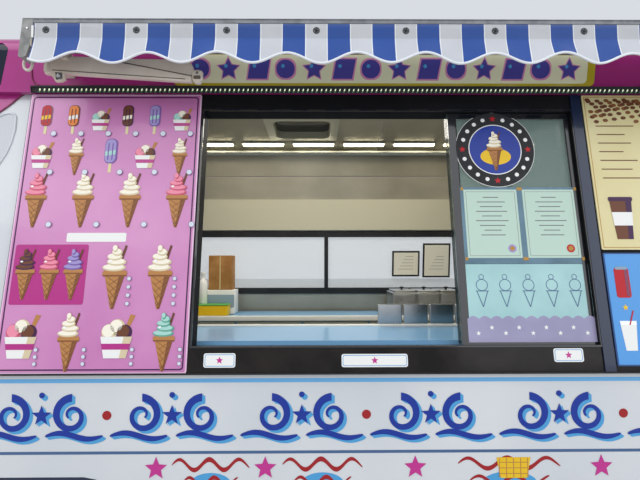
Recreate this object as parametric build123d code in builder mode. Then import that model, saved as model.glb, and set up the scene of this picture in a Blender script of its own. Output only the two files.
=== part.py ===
"""Coach-built ice cream van. Millimetres, +Z up, nose toward -X, serving (kerb) side toward -Y,
origin on the ground under the middle of the bounding box."""
import math
import os
from build123d import *

os.makedirs("parts", exist_ok=True)

# ------------------------------------------------------------------ driving dimensions
HALF_L = 2925.0            # nose / rear bumper
WAIST_Z = 1150.0           # above this every side leans inward
LEAN = 8.4                 # degrees
TL = math.tan(math.radians(LEAN))
CL = math.cos(math.radians(LEAN))
SL = math.sin(math.radians(LEAN))
BODY_HW = 1030.0           # half width of the box body at the waist
BODY_X0, BODY_X1 = -725.0, 2895.0
BODY_T = 30.0              # GRP sandwich wall
SKIRT_Z = 335.0
WALL_V = 1101.5            # height of the leaning walls, measured along them
HATCH_TOP_V = 1073.0       # top of the black hatch surround
WALL_TOP_Z = WAIST_Z + WALL_V * CL
LIP_Z = 2215.0             # lower edge of the fascia
FASCIA_HW = 905.0          # half width there; it leans outward to its top
FASCIA_TOP = (944.5, 2425.0)
ROOF_Z = 2590.0            # crown of the roof
ROOF_T = 25.0
FLOOR_Z0, FLOOR_Z1 = 600.0, 640.0

CAB_HW = 1000.0
CAB_X1 = -728.0
CAB_Z0 = 450.0
CAB_TOP = 2205.0
CAB_T = 50.0

AXLE_FX, AXLE_RX = -2060.0, 1605.0
TYRE_R, TYRE_W = 348.0, 225.0
RIM_R = 190.5
WHEEL_Y = 845.0
KING_Y = 765.0
ARCH_F, ARCH_R = 445.0, 410.0
WHOUSE_Y = 527.0           # inner wall of the front wheel houses

HATCH_X0, HATCH_X1 = -425.0, 2475.0     # black surround
OPEN_X0, OPEN_X1 = 267.0, 1723.0        # clear frame opening, glass bay included
BAY_X0 = 1234.0                         # where the stacked panes start
OPEN_V0, OPEN_V1 = 95.0, 1001.0
OFF_WIN = (-300.0, 1900.0, 175.0, 645.0)  # window in the off side wall: x0 x1 v0 v1

AWN_X0, AWN_X1 = -307.0, 2625.0
AWN_Y, AWN_TOP = -1115.0, 2385.0
VAL_BOTTOM = 2224.0

DOOR_X0, DOOR_X1 = -2010.0, -792.0
DOOR_Z0, DOOR_Z1 = 560.0, 2080.0
GAP = 7.0

RDOOR_HW, RDOOR_Z0, RDOOR_Z1 = 360.0, 655.0, 1985.0

# external pin hinges: where the pin's axis lies
DOOR_PIN = dict(x=-2013.5, y=1012.0, r=5.0)      # upright, in the gap ahead of each cab door
BONNET_PIN = dict(x=-2228.5, z=1380.0, r=5.0)    # across, over the rear edge of the bonnet
RDOOR_PIN = dict(x=2907.0, y=363.5, r=6.0)       # upright, on the off side edge of the rear door
DOOR_HINGE_Z = (1005.0, 1222.0)                  # bottom of each cab door hinge, 60 high
BONNET_HINGE_Y = (-560.0, 560.0)
RDOOR_HINGE_Z = (760.0, 1280.0, 1800.0)          # bottom of each rear door hinge, 80 high


# ------------------------------------------------------------------ helpers
def poly_xz(pts, y0, y1, r=0.0):
    """solid from an outline in X-Z between two Y planes"""
    with BuildPart(mode=Mode.PRIVATE) as p:
        with BuildSketch(Plane.XZ.offset(-y0)) as s:
            with BuildLine():
                Polyline(*pts, close=True)
            make_face()
            if r:
                fillet(s.vertices(), r)
        extrude(amount=-(y1 - y0))
    return p.part


def poly_yz(pts, x0, x1, r=0.0):
    """solid from an outline in Y-Z between two X planes"""
    with BuildPart(mode=Mode.PRIVATE) as p:
        with BuildSketch(Plane.YZ.offset(x0)) as s:
            with BuildLine():
                Polyline(*pts, close=True)
            make_face()
            if r:
                fillet(s.vertices(), r)
        extrude(amount=x1 - x0)
    return p.part


def block(x0, x1, y0, y1, z0, z1, r=0.0):
    """plain box by its limits, r rounds the upright edges"""
    with BuildPart(mode=Mode.PRIVATE) as p:
        with BuildSketch(Plane.XY.offset(z0)) as s:
            with Locations(((x0 + x1) / 2, (y0 + y1) / 2)):
                Rectangle(x1 - x0, y1 - y0)
            if r:
                fillet(s.vertices(), r)
        extrude(amount=z1 - z0)
    return p.part


def rod(axis, a, b, c, length, radius):
    """cylinder along X, Y or Z starting at (a, b, c)"""
    normal = {"X": (1, 0, 0), "Y": (0, 1, 0), "Z": (0, 0, 1)}[axis]
    with BuildPart(mode=Mode.PRIVATE) as p:
        with BuildSketch(Plane(origin=(a, b, c), z_dir=normal)):
            Circle(radius)
        extrude(amount=length)
    return p.part


def wall_plane(side, n=0.0):
    """plane on the outer face of a leaning wall: local x = X, local y = up the wall.
    side -1 = serving side, +1 = off side; n moves it outward"""
    normal = Vector(0, side * CL, SL)
    origin = Vector(0, side * BODY_HW, WAIST_Z) + normal * n
    return Plane(origin=origin, x_dir=(1, 0, 0) if side < 0 else (-1, 0, 0), z_dir=normal)


def wall_slab(side, x0, x1, v0, v1, n0, n1, r=0.0):
    """panel lying in a leaning wall between the normal offsets n0 and n1"""
    with BuildPart(mode=Mode.PRIVATE) as p:
        with BuildSketch(wall_plane(side, n0)) as s:
            cx = (x0 + x1) / 2 if side < 0 else -(x0 + x1) / 2
            with Locations((cx, (v0 + v1) / 2)):
                Rectangle(x1 - x0, v1 - v0)
            if r:
                fillet(s.vertices(), r)
        extrude(amount=n1 - n0)
    return p.part


def mirror_y(part):
    return mirror(part, about=Plane.XZ)


# ------------------------------------------------------------------ cab skin shapes
CAB_SIDE = [(CAB_X1, CAB_Z0), (-2840, CAB_Z0), (-2865, 900), (-2790, 1090), (-2200, 1380),
            (-1655, 2120), (-1520, 2188), (CAB_X1, CAB_TOP)]
CAB_PLAN_X = (-2420.0, -2835.0, -2880.0)


def cab_solid(t=0.0, open_ends=False):
    """the cab's outer form, or the same form drawn in by t and run out at the back and below"""
    side = list(CAB_SIDE)
    zb, xr = CAB_Z0, CAB_X1
    if open_ends:
        zb, xr = 250.0, -600.0
        side[0], side[1], side[7] = (xr, zb), (-2840, zb), (xr, CAB_TOP + 2)
    hw = CAB_HW
    top = hw - TL * (CAB_TOP + 10 - WAIST_Z)
    with BuildPart(mode=Mode.PRIVATE) as p:
        with BuildSketch(Plane.XZ):
            with BuildLine():
                Polyline(*side, close=True)
            make_face()
            if t:
                offset(amount=-t, kind=Kind.INTERSECTION)
        extrude(amount=1100, both=True)
        with BuildSketch(Plane.YZ.offset(-3000)) as s:
            with BuildLine():
                Polyline((-hw, zb - 50), (hw, zb - 50), (hw, WAIST_Z), (top, CAB_TOP + 10),
                         (-top, CAB_TOP + 10), (-hw, WAIST_Z), close=True)
            make_face()
            fillet(s.vertices().group_by(Axis.Y)[-1], 110)
            if t:
                offset(amount=-t, kind=Kind.INTERSECTION)
        extrude(amount=2600, mode=Mode.INTERSECT)
        xa, xb, xc = CAB_PLAN_X
        with BuildSketch(Plane.XY.offset(200)):
            with BuildLine():
                Line((-500, -hw), (xa, -hw))
                ThreePointArc((xa, -hw), (-2700, -900), (xb, -640))
                ThreePointArc((xb, -640), (xc, 0), (xb, 640))
                ThreePointArc((xb, 640), (-2700, 900), (xa, hw))
                Line((xa, hw), (-500, hw))
                Line((-500, hw), (-500, -hw))
            make_face()
            if t:
                offset(amount=-t, kind=Kind.INTERSECTION)
        extrude(amount=2100, mode=Mode.INTERSECT)
    return p.part


def grow(pts, g):
    """outline pushed outward by g (pts counter-clockwise in X-Z as seen from -Y)"""
    out = []
    n = len(pts)
    area = sum(pts[i][0] * pts[(i + 1) % n][1] - pts[(i + 1) % n][0] * pts[i][1] for i in range(n))
    sgn = 1 if area > 0 else -1
    for i in range(n):
        a, b, c = pts[i - 1], pts[i], pts[(i + 1) % n]
        d1 = (b[0] - a[0], b[1] - a[1])
        d2 = (c[0] - b[0], c[1] - b[1])
        l1, l2 = math.hypot(*d1), math.hypot(*d2)
        n1 = (sgn * d1[1] / l1, -sgn * d1[0] / l1)
        n2 = (sgn * d2[1] / l2, -sgn * d2[0] / l2)
        k = 1 + n1[0] * n2[0] + n1[1] * n2[1]
        out.append((b[0] + g * (n1[0] + n2[0]) / k, b[1] + g * (n1[1] + n2[1]) / k))
    return out


DOOR_LINE = [(DOOR_X1, DOOR_Z0), (-1585, DOOR_Z0), (-1620, 690), (-1720, 830), (-1865, 930),
             (DOOR_X0, 985), (DOOR_X0, 1385), (-1500, DOOR_Z1), (DOOR_X1 - 8, DOOR_Z1)]
WINDOW_LINE = [(-872, 1400), (-1900, 1400), (-1452, 2005), (-872, 2005)]

cab_outer = cab_solid()
cab_inner = cab_solid(CAB_T, True)

# ------------------------------------------------------------------ windscreen (flat glass on the raked plane)
WS_A, WS_B = (-2200.0, 1380.0), (-1655.0, 2120.0)
ws_len = math.hypot(WS_B[0] - WS_A[0], WS_B[1] - WS_A[1])
ws_up = ((WS_B[0] - WS_A[0]) / ws_len, (WS_B[1] - WS_A[1]) / ws_len)
ws_plane = Plane(origin=(WS_A[0], 0, WS_A[1]), x_dir=(0, -1, 0), z_dir=(-ws_up[1], 0, ws_up[0]))


def screen(grow_by, n0, n1):
    with BuildPart(mode=Mode.PRIVATE) as p:
        with BuildSketch(ws_plane.offset(n0)) as s:
            w0, w1, h0, h1 = 855 + grow_by, 745 + grow_by, 55 - grow_by, ws_len - 60 + grow_by
            with BuildLine():
                Polyline((-w0, h0), (w0, h0), (w1, h1), (-w1, h1), close=True)
            make_face()
            fillet(s.vertices(), 70)
        extrude(amount=n1 - n0)
    return p.part


with BuildPart() as windscreen:
    add(screen(0, -10, -3))
windscreen.part.label = "windscreen"
export_step(windscreen.part, "parts/windscreen.step")

# ------------------------------------------------------------------ bonnet
BONNET_X = (-2900.0, -2232.0)
BONNET_HW, BONNET_Z = 760.0, 1035.0
bonnet_inner = cab_solid(24, True)
with BuildPart() as bonnet:
    add(cab_outer)
    add(bonnet_inner, mode=Mode.SUBTRACT)
    add(block(BONNET_X[0], BONNET_X[1], -BONNET_HW, BONNET_HW, BONNET_Z, 1500), mode=Mode.INTERSECT)
    # hinge knuckles and straps on its rear edge: along the slope d, off the slope n, from the rear edge
    q = BONNET_PIN
    dx, dz, nx, nz = -0.8975, -0.4411, -0.4411, 0.8975
    strap = [(-2232 + a * dx + b * nx, 1364.3 + a * dz + b * nz)
             for a, b in ((-6, 4), (-6, 10), (62, 6), (62, -8), (0.6, -8), (0.6, 4))]
    for y in BONNET_HINGE_Y:
        add(rod("Y", q["x"], y - 18, q["z"], 36, 9))
        add(poly_xz(strap, y - 16, y + 16))
    for y in BONNET_HINGE_Y:
        add(rod("Y", q["x"], y - 30, q["z"], 60, q["r"] + 0.4), mode=Mode.SUBTRACT)
bonnet.part.label = "bonnet"
export_step(bonnet.part, "parts/bonnet.step")

# ------------------------------------------------------------------ lamps
HEADLAMP = dict(x0=-2900.0, x1=-2545.0, y0=560.0, y1=960.0, z0=800.0, z1=1005.0)
head_inner = cab_solid(70, True)
with BuildPart(mode=Mode.PRIVATE) as head:
    h = HEADLAMP
    add(cab_outer)
    add(head_inner, mode=Mode.SUBTRACT)
    add(block(h["x0"], h["x1"], h["y0"] + 3, h["y1"] + 60, h["z0"] + 3, h["z1"] - 3), mode=Mode.INTERSECT)
with BuildPart() as lamps:
    add(head.part)
    add(mirror_y(head.part))
    for s in (-1, 1):
        add(block(BODY_X1, BODY_X1 + 22, min(s * 800, s * 900), max(s * 800, s * 900), 640, 1040))
lamps.part.label = "lamps"
export_step(lamps.part, "parts/lamps.step")

# ------------------------------------------------------------------ cab doors, their glass and mirrors
door_cut_w = poly_xz(grow(DOOR_LINE, GAP), -1100, -780) - cab_solid(CAB_T + GAP, True)
door_zone = poly_xz(DOOR_LINE, -1100, -780)
window_zone = poly_xz(WINDOW_LINE, -1100, -780, 45)
glass_zone = poly_xz(grow(WINDOW_LINE, -0.5), -1100, -780, 45)
glass_out, glass_in = cab_solid(22, True), cab_solid(27, True)
skin = cab_outer - cab_inner

with BuildPart(mode=Mode.PRIVATE) as door_l:
    add(skin)
    add(door_zone, mode=Mode.INTERSECT)
    add(window_zone, mode=Mode.SUBTRACT)
with BuildPart(mode=Mode.PRIVATE) as glass_l:
    add(glass_out)
    add(glass_in, mode=Mode.SUBTRACT)
    add(glass_zone, mode=Mode.INTERSECT)
with BuildPart(mode=Mode.PRIVATE) as mir_l:
    add(block(-2000, -1915, -1198, -1035, 1345, 1655, 28))
    with Locations((-1955, -1000, 1375)):
        Box(40, 90, 34)
    add(cab_outer, mode=Mode.SUBTRACT)

# hinge halves: pin and lugs stay on the cab, knuckle and strap go with the door (near side)
with BuildPart(mode=Mode.PRIVATE) as door_pins:
    q = DOOR_PIN
    for z in DOOR_HINGE_Z:
        add(rod("Z", q["x"], -q["y"], z, 60, q["r"]))
        for zl in (z, z + 50):
            add(rod("Z", q["x"], -q["y"], zl, 10, 8.5))
            add(block(q["x"] - 40, q["x"], -q["y"] - 5, -q["y"] + 7.5, zl, zl + 10))
            add(block(q["x"] - 40, q["x"] - 6, -q["y"], -962, zl, zl + 10))
with BuildPart(mode=Mode.PRIVATE) as door_knuckles:
    q = DOOR_PIN
    for z in DOOR_HINGE_Z:
        add(rod("Z", q["x"], -q["y"], z + 12, 36, 9.5))
        add(block(q["x"] + 5, q["x"] + 66, -q["y"] + 3, -965, z + 15, z + 45))
    for z in DOOR_HINGE_Z:
        add(rod("Z", q["x"], -q["y"], z, 60, q["r"] + 0.4), mode=Mode.SUBTRACT)

with BuildPart(mode=Mode.PRIVATE) as door_hung:
    add(door_l.part)
    add(door_knuckles.part)

with BuildPart() as cab_door_left:
    add(door_hung.part)
cab_door_left.part.label = "cab_door_left"
export_step(cab_door_left.part, "parts/cab_door_left.step")
with BuildPart() as cab_door_right:
    add(mirror_y(door_hung.part))
cab_door_right.part.label = "cab_door_right"
export_step(cab_door_right.part, "parts/cab_door_right.step")
with BuildPart() as door_glass_left:
    add(glass_l.part)
door_glass_left.part.label = "door_glass_left"
export_step(door_glass_left.part, "parts/door_glass_left.step")
with BuildPart() as door_glass_right:
    add(mirror_y(glass_l.part))
door_glass_right.part.label = "door_glass_right"
export_step(door_glass_right.part, "parts/door_glass_right.step")
with BuildPart() as mirror_left:
    add(mir_l.part)
mirror_left.part.label = "mirror_left"
export_step(mirror_left.part, "parts/mirror_left.step")
with BuildPart() as mirror_right:
    add(mirror_y(mir_l.part))
mirror_right.part.label = "mirror_right"
export_step(mirror_right.part, "parts/mirror_right.step")

# ------------------------------------------------------------------ cab shell
with BuildPart() as cab_shell:
    add(skin)
    # windscreen, bonnet, headlamps
    add(screen(3, -90, 40), mode=Mode.SUBTRACT)
    add(block(BONNET_X[0] - 50, BONNET_X[1] + GAP, -BONNET_HW - GAP, BONNET_HW + GAP,
              BONNET_Z - GAP, 1420), mode=Mode.SUBTRACT)
    for s in (-1, 1):
        a, b = sorted((s * HEADLAMP["y0"], s * (HEADLAMP["y1"] + 60)))
        add(block(-2950, HEADLAMP["x1"], a, b, HEADLAMP["z0"], HEADLAMP["z1"]), mode=Mode.SUBTRACT)
    # floor, toe board and firewall
    add(block(-1640, CAB_X1, -CAB_HW + 30, CAB_HW - 30, FLOOR_Z0, FLOOR_Z0 + 25))
    add(poly_xz([(-1640, 600), (-1640, 625), (-1785, 840), (-2075, 1100), (-2165, 1370), (-2195, 1365),
                 (-2102, 1088), (-1806, 820), (-1672, 600)], -CAB_HW + 30, CAB_HW - 30))
    # sills joining the floor to the outer skin
    for s in (-1, 1):
        a, b = sorted((s * 900, s * (CAB_HW - 40)))
        add(block(-1600, CAB_X1, a, b, CAB_Z0, FLOOR_Z0 + 25))
    # wheel houses
    for s in (-1, 1):
        a, b = sorted((s * WHOUSE_Y, s * (CAB_HW - 20)))
        add(rod("Y", AXLE_FX, a, TYRE_R, b - a, ARCH_F + 12))
        a, b = sorted((s * WHOUSE_Y, s * (WHOUSE_Y - 12)))
        add(rod("Y", AXLE_FX, a, TYRE_R, b - a, ARCH_F + 12))
    for s in (-1, 1):
        a, b = sorted((s * WHOUSE_Y, s * 1100))
        add(rod("Y", AXLE_FX, a, TYRE_R, b - a, ARCH_F), mode=Mode.SUBTRACT)
        a, b = sorted((s * (WHOUSE_Y - 30), s * (WHOUSE_Y + 10)))
        add(block(AXLE_FX - 70, AXLE_FX + 70, a, b, 150, 540), mode=Mode.SUBTRACT)
    # door openings
    for cutter in (door_cut_w, mirror_y(door_cut_w)):
        add(cutter, mode=Mode.SUBTRACT)
    # open below the wheel houses and sills, clear of the front bumper
    add(block(-2700, -1400, -CAB_HW + 51, CAB_HW - 51, 0, 470), mode=Mode.SUBTRACT)
    add(block(-3000, -2478, -1100, 1100, 200, 758), mode=Mode.SUBTRACT)
    add(block(-3000, -1400, -1100, 1100, -200, CAB_Z0), mode=Mode.SUBTRACT)
    # hinge pins with their lugs: cab doors and bonnet
    add(door_pins.part)
    add(mirror_y(door_pins.part))
    q = BONNET_PIN
    for y in BONNET_HINGE_Y:
        add(rod("Y", q["x"], y - 30, q["z"], 60, q["r"]))
        for yl in (y - 30, y + 20):
            add(rod("Y", q["x"], yl, q["z"], 10, 8.0))
            add(block(q["x"], -2200, yl, yl + 10, 1372.5, 1388))
            add(block(-2223.5, -2200, yl, yl + 10, 1345, 1380))
cab_shell.part.label = "cab_shell"
export_step(cab_shell.part, "parts/cab_shell.step")

# ------------------------------------------------------------------ bumpers
with BuildPart(mode=Mode.PRIVATE) as fb:
    with BuildSketch(Plane.XY.offset(300)):
        with BuildLine():
            ThreePointArc((-2440, -1012), (-2735, -925), (-2878, -660))
            ThreePointArc((-2878, -660), (-HALF_L, 0), (-2878, 660))
            ThreePointArc((-2878, 660), (-2735, 925), (-2440, 1012))
            Line((-2440, 1012), (-2440, 955))
            ThreePointArc((-2440, 955), (-2690, 880), (-2815, 640))
            ThreePointArc((-2815, 640), (-2860, 0), (-2815, -640))
            ThreePointArc((-2815, -640), (-2690, -880), (-2440, -955))
            Line((-2440, -955), (-2440, -1012))
        make_face()
    extrude(amount=455)
    add(block(-2500, -2300, -1100, 1100, 200, 900), mode=Mode.SUBTRACT)
    add(block(-3000, -2780, -420, 420, 430, 560), mode=Mode.SUBTRACT)
with BuildPart() as bumpers:
    add(fb.part)
    add(block(BODY_X1 - 33, HALF_L, -1015, 1015, 385, 520))
    add(block(2790.5, BODY_X1 - 33, -470, 470, 430, 500))
bumpers.part.label = "bumpers"
export_step(bumpers.part, "parts/bumpers.step")

# ------------------------------------------------------------------ chassis frame
RAIL = dict(x0=-2720.0, x1=2790.0, y0=400.0, y1=465.0, z0=430.0, z1=558.0)
CROSS_X = (-2600.0, -1300.0, -300.0, 700.0, 2300.0, 2740.0)
BEARER_X = (-600.0, 0.0, 600.0, 2150.0, 2600.0)
JACK_X = (-1400.0, 850.0)
with BuildPart() as chassis_frame:
    r = RAIL
    for s in (-1, 1):
        a, b = sorted((s * r["y0"], s * r["y1"]))
        add(block(r["x0"], r["x1"], a, b, r["z0"], r["z1"]))
    for x in CROSS_X:
        add(block(x - 30, x + 30, -r["y0"], r["y0"], r["z0"] + 20, r["z1"] - 20))
    for x in BEARER_X:
        add(block(x - 25, x + 25, -985, 985, r["z1"], FLOOR_Z0))
    # front suspension arms reaching the king pins
    for s in (-1, 1):
        a, b = sorted((s * (r["y0"] + 10), s * (KING_Y + 26)))
        for z0, z1 in ((190, 208), (496, 514)):
            add(block(AXLE_FX - 30, AXLE_FX + 30, a, b, z0, z1))
        a, b = sorted((s * (r["y0"] + 5), s * r["y1"]))
        add(block(AXLE_FX - 60, AXLE_FX + 60, a, b, 190, 440))
    add(block(AXLE_FX - 50, AXLE_FX + 50, -r["y0"] - 30, r["y0"] + 30, 200, 250))
    # jacking pads under the rails
    for x in JACK_X:
        for s in (-1, 1):
            add(rod("Z", x, s * 432.5, 412, 25, 32))
    # front towing beam behind the bumper
    add(block(-2780, -2720, -700, 700, 440, 540))
    # towing bracket with its two-bolt flange
    add(block(2725, 2755, -28, 28, 336, 455))
    add(block(2725, 2872, -28, 28, 336, 366))
    add(block(2870, 2882, -75, 75, 318, 383))
    for y in (-45, 45):
        add(rod("X", 2860, y, 351, 40, 8.5), mode=Mode.SUBTRACT)
chassis_frame.part.label = "chassis_frame"
export_step(chassis_frame.part, "parts/chassis_frame.step")

with BuildPart() as engine_block:
    add(block(-2640, -2230, -290, 290, 570, 1060, 30))
engine_block.part.label = "engine_block"
export_step(engine_block.part, "parts/engine_block.step")

with BuildPart() as underfloor_tanks:
    for x0, x1, y0, y1 in ((-250, 560, 500, 900), (640, 1100, 500, 900), (-250, 560, -900, -500)):
        add(block(x0, x1, y0, y1, 330, 550, 50))
underfloor_tanks.part.label = "underfloor_tanks"
export_step(underfloor_tanks.part, "parts/underfloor_tanks.step")


# ------------------------------------------------------------------ wheels
def tyre_at(x, s):
    yc, hw, R, r = s * WHEEL_Y, TYRE_W / 2, TYRE_R, RIM_R
    with BuildPart(mode=Mode.PRIVATE) as p:
        with BuildSketch(Plane.YZ.offset(x)):
            with BuildLine():
                pts = [(-hw + 14, r), (hw - 14, r), (hw - 2, r + 30), (hw, r + 75), (hw - 12, R - 24),
                       (hw - 34, R), (-hw + 34, R), (-hw + 12, R - 24), (-hw, r + 75), (-hw + 2, r + 30)]
                Polyline(*[(yc + a, TYRE_R + b) for a, b in pts], close=True)
            make_face()
        revolve(axis=Axis((x, 0, TYRE_R), (0, 1, 0)), revolution_arc=360)
    return p.part


def rim_at(x, s):
    """steel wheel: barrel, dished disc on the outboard side, vent holes and centre bore"""
    yc, hw, r = WHEEL_Y, TYRE_W / 2 - 16, RIM_R - 0.4
    with BuildPart(mode=Mode.PRIVATE) as p:
        with BuildSketch(Plane.YZ.offset(x)):
            with BuildLine():
                pts = [(-hw, r), (hw, r), (hw, r - 9), (64, r - 14), (30, 118), (44, 92), (44, 36),
                       (34, 36), (34, 88), (18, 118), (50, r - 20), (-hw, r - 12)]
                Polyline(*[(yc + a, TYRE_R + b) for a, b in pts], close=True)
            make_face()
        revolve(axis=Axis((x, 0, TYRE_R), (0, 1, 0)), revolution_arc=360)
        with BuildSketch(Plane(origin=(x, yc - 60, TYRE_R), x_dir=(1, 0, 0), z_dir=(0, 1, 0))):
            with PolarLocations(136, 8):
                Circle(17)
        extrude(amount=160, mode=Mode.SUBTRACT)
    return p.part if s > 0 else mirror_y(p.part)


WHEELS = [("front_left", AXLE_FX, -1), ("front_right", AXLE_FX, 1),
          ("rear_left", AXLE_RX, -1), ("rear_right", AXLE_RX, 1)]
for name, x, s in WHEELS:
    with BuildPart() as tyre:
        add(tyre_at(x, s))
    tyre.part.label = "tyre_" + name
    export_step(tyre.part, "parts/tyre_%s.step" % name)
    with BuildPart() as rim:
        add(rim_at(x, s))
    rim.part.label = "rim_" + name
    export_step(rim.part, "parts/rim_%s.step" % name)

for name, s in (("left", -1), ("right", 1)):
    with BuildPart() as knuckle:
        add(rod("Z", AXLE_FX, s * KING_Y, 212, 280, 26))
        a, b = sorted((s * KING_Y, s * (WHEEL_Y + 60)))
        add(rod("Y", AXLE_FX, a, TYRE_R, b - a, 34))
        a, b = sorted((s * (KING_Y + 42), s * (KING_Y + 66)))
        add(rod("Y", AXLE_FX, a, TYRE_R, b - a, 138))
        a, b = sorted((s * (KING_Y + 10), s * (KING_Y - 18)))
        add(block(AXLE_FX, AXLE_FX + 150, a, b, 300, 324))
    knuckle.part.label = "knuckle_" + name
    export_step(knuckle.part, "parts/knuckle_%s.step" % name)

with BuildPart() as rear_axle:
    add(rod("Y", AXLE_RX, -WHEEL_Y + 40, TYRE_R, 2 * WHEEL_Y - 80, 44))
    add(rod("Y", AXLE_RX, -WHEEL_Y - 60, TYRE_R, 2 * WHEEL_Y + 120, 34))
    for s in (-1, 1):
        a, b = sorted((s * 700, s * 800))
        add(rod("Y", AXLE_RX, a, TYRE_R, b - a, 145))
        a, b = sorted((s * 401, s * 464))
        add(block(AXLE_RX - 60, AXLE_RX + 60, a, b, 380, 429.5))
        add(block(AXLE_RX - 620, AXLE_RX + 620, a, b, 300, 318))
        add(block(AXLE_RX - 60, AXLE_RX + 60, a, b, 300, 400))
        for x in (AXLE_RX - 600, AXLE_RX + 600):
            add(block(x - 20, x + 20, a, b, 300, 429.5))
rear_axle.part.label = "rear_axle"
export_step(rear_axle.part, "parts/rear_axle.step")

# ------------------------------------------------------------------ cab inside
with BuildPart() as dashboard:
    add(poly_xz([(-2040, 1100), (-1810, 1000), (-1730, 1030), (-1700, 1240), (-1790, 1330), (-2100, 1345)],
                -880, 880, 25))
dashboard.part.label = "dashboard"
export_step(dashboard.part, "parts/dashboard.step")

WHEEL_TILT = 28.0
with BuildPart() as steering_wheel:
    sw = Plane(origin=(-1560, 430, 1215), x_dir=(0, 1, 0),
               z_dir=(math.cos(math.radians(90 - 62)), 0, math.sin(math.radians(90 - 62))))
    with BuildSketch(Plane(origin=sw.origin, x_dir=sw.z_dir, z_dir=sw.x_dir)):
        with Locations((0, 190)):
            Circle(15)
    revolve(axis=Axis(sw.origin, sw.z_dir), revolution_arc=360)
    with BuildSketch(sw.offset(-14)):
        Rectangle(376, 40)
        with Locations((0, 0)):
            Rectangle(40, 376)
        Circle(70)
    extrude(amount=20)
    with BuildSketch(sw.offset(-162)):
        Circle(28)
    extrude(amount=152)
    add(dashboard.part, mode=Mode.SUBTRACT)
steering_wheel.part.label = "steering_wheel"
export_step(steering_wheel.part, "parts/steering_wheel.step")

with BuildPart() as cab_seats:
    for s in (-1, 1):
        yc = s * 480
        add(block(-1400, -960, yc - 200, yc + 200, FLOOR_Z0 + 25, 860))
        add(poly_xz([(-1460, 860), (-930, 860), (-800, 1480), (-905, 1490), (-1000, 1010), (-1460, 990)],
                    yc - 245, yc + 245, 20))
        add(poly_xz([(-890, 1500), (-785, 1500), (-775, 1680), (-860, 1680)], yc - 130, yc + 130, 20))
        for d in (-60, 60):
            add(block(-858, -842, yc + d - 8, yc + d + 8, 1440, 1540))
cab_seats.part.label = "cab_seats"
export_step(cab_seats.part, "parts/cab_seats.step")

# ------------------------------------------------------------------ body floor with rear wheel boxes
WBOX = dict(x0=AXLE_RX - 440, x1=AXLE_RX + 440, y0=690.0, y1=998.0, z1=800.0)
with BuildPart() as body_floor:
    add(block(BODY_X0 + 2, 2858, -998, 998, FLOOR_Z0, FLOOR_Z1))
    for s in (-1, 1):
        a, b = sorted((s * WBOX["y0"], s * WBOX["y1"]))
        add(block(WBOX["x0"], WBOX["x1"], a, b, FLOOR_Z0, WBOX["z1"]))
    for s in (-1, 1):
        a, b = sorted((s * (WBOX["y0"] + 12), s * 1100))
        add(block(WBOX["x0"] + 12, WBOX["x1"] - 12, a, b, 500, WBOX["z1"] - 12), mode=Mode.SUBTRACT)
body_floor.part.label = "body_floor"
export_step(body_floor.part, "parts/body_floor.step")

# ------------------------------------------------------------------ lower sides
with BuildPart() as lower_sides:
    for s in (-1, 1):
        a, b = sorted((s * (BODY_HW - BODY_T), s * BODY_HW))
        add(block(BODY_X0, 2858, a, b, SKIRT_Z, WAIST_Z))
        add(rod("Y", AXLE_RX, s * 900 - 200, TYRE_R, 400, ARCH_R), mode=Mode.SUBTRACT)
lower_sides.part.label = "lower_sides"
export_step(lower_sides.part, "parts/lower_sides.step")

# ------------------------------------------------------------------ leaning walls
with BuildPart() as serving_wall:
    add(wall_slab(-1, BODY_X0, 2858, 0.0, WALL_V, -BODY_T, 0))
    add(wall_slab(-1, OPEN_X0 - 9, OPEN_X1 + 9, OPEN_V0 - 9, OPEN_V1 + 9, -80, 30), mode=Mode.SUBTRACT)
    add(block(-3000, 3000, -1100, -800, WAIST_Z - 200, WAIST_Z + 0.01), mode=Mode.SUBTRACT)
    add(block(-3000, 3000, -1100, -800, WALL_TOP_Z, WALL_TOP_Z + 200), mode=Mode.SUBTRACT)
serving_wall.part.label = "serving_wall"
export_step(serving_wall.part, "parts/serving_wall.step")

ox0, ox1, ov0, ov1 = OFF_WIN
with BuildPart() as offside_wall:
    add(wall_slab(1, BODY_X0, 2858, 0.0, WALL_V, -BODY_T, 0))
    add(wall_slab(1, ox0, ox1, ov0, ov1, -80, 30, 50), mode=Mode.SUBTRACT)
    add(block(-3000, 3000, 800, 1100, WAIST_Z - 200, WAIST_Z + 0.01), mode=Mode.SUBTRACT)
    add(block(-3000, 3000, 800, 1100, WALL_TOP_Z, WALL_TOP_Z + 200), mode=Mode.SUBTRACT)
offside_wall.part.label = "offside_wall"
export_step(offside_wall.part, "parts/offside_wall.step")

# ------------------------------------------------------------------ hatch frame and panes
with BuildPart() as hatch_frame:
    add(wall_slab(-1, HATCH_X0, HATCH_X1, 0.0, HATCH_TOP_V, 0.3, 12, 12))
    add(wall_slab(-1, OPEN_X0 - 5, OPEN_X1 + 5, OPEN_V0 - 5, OPEN_V1 + 5, -52, 0.3))
    add(wall_slab(-1, OPEN_X0, OPEN_X1, OPEN_V0, OPEN_V1, -80, 30), mode=Mode.SUBTRACT)
hatch_frame.part.label = "hatch_frame"
export_step(hatch_frame.part, "parts/hatch_frame.step")

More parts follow.
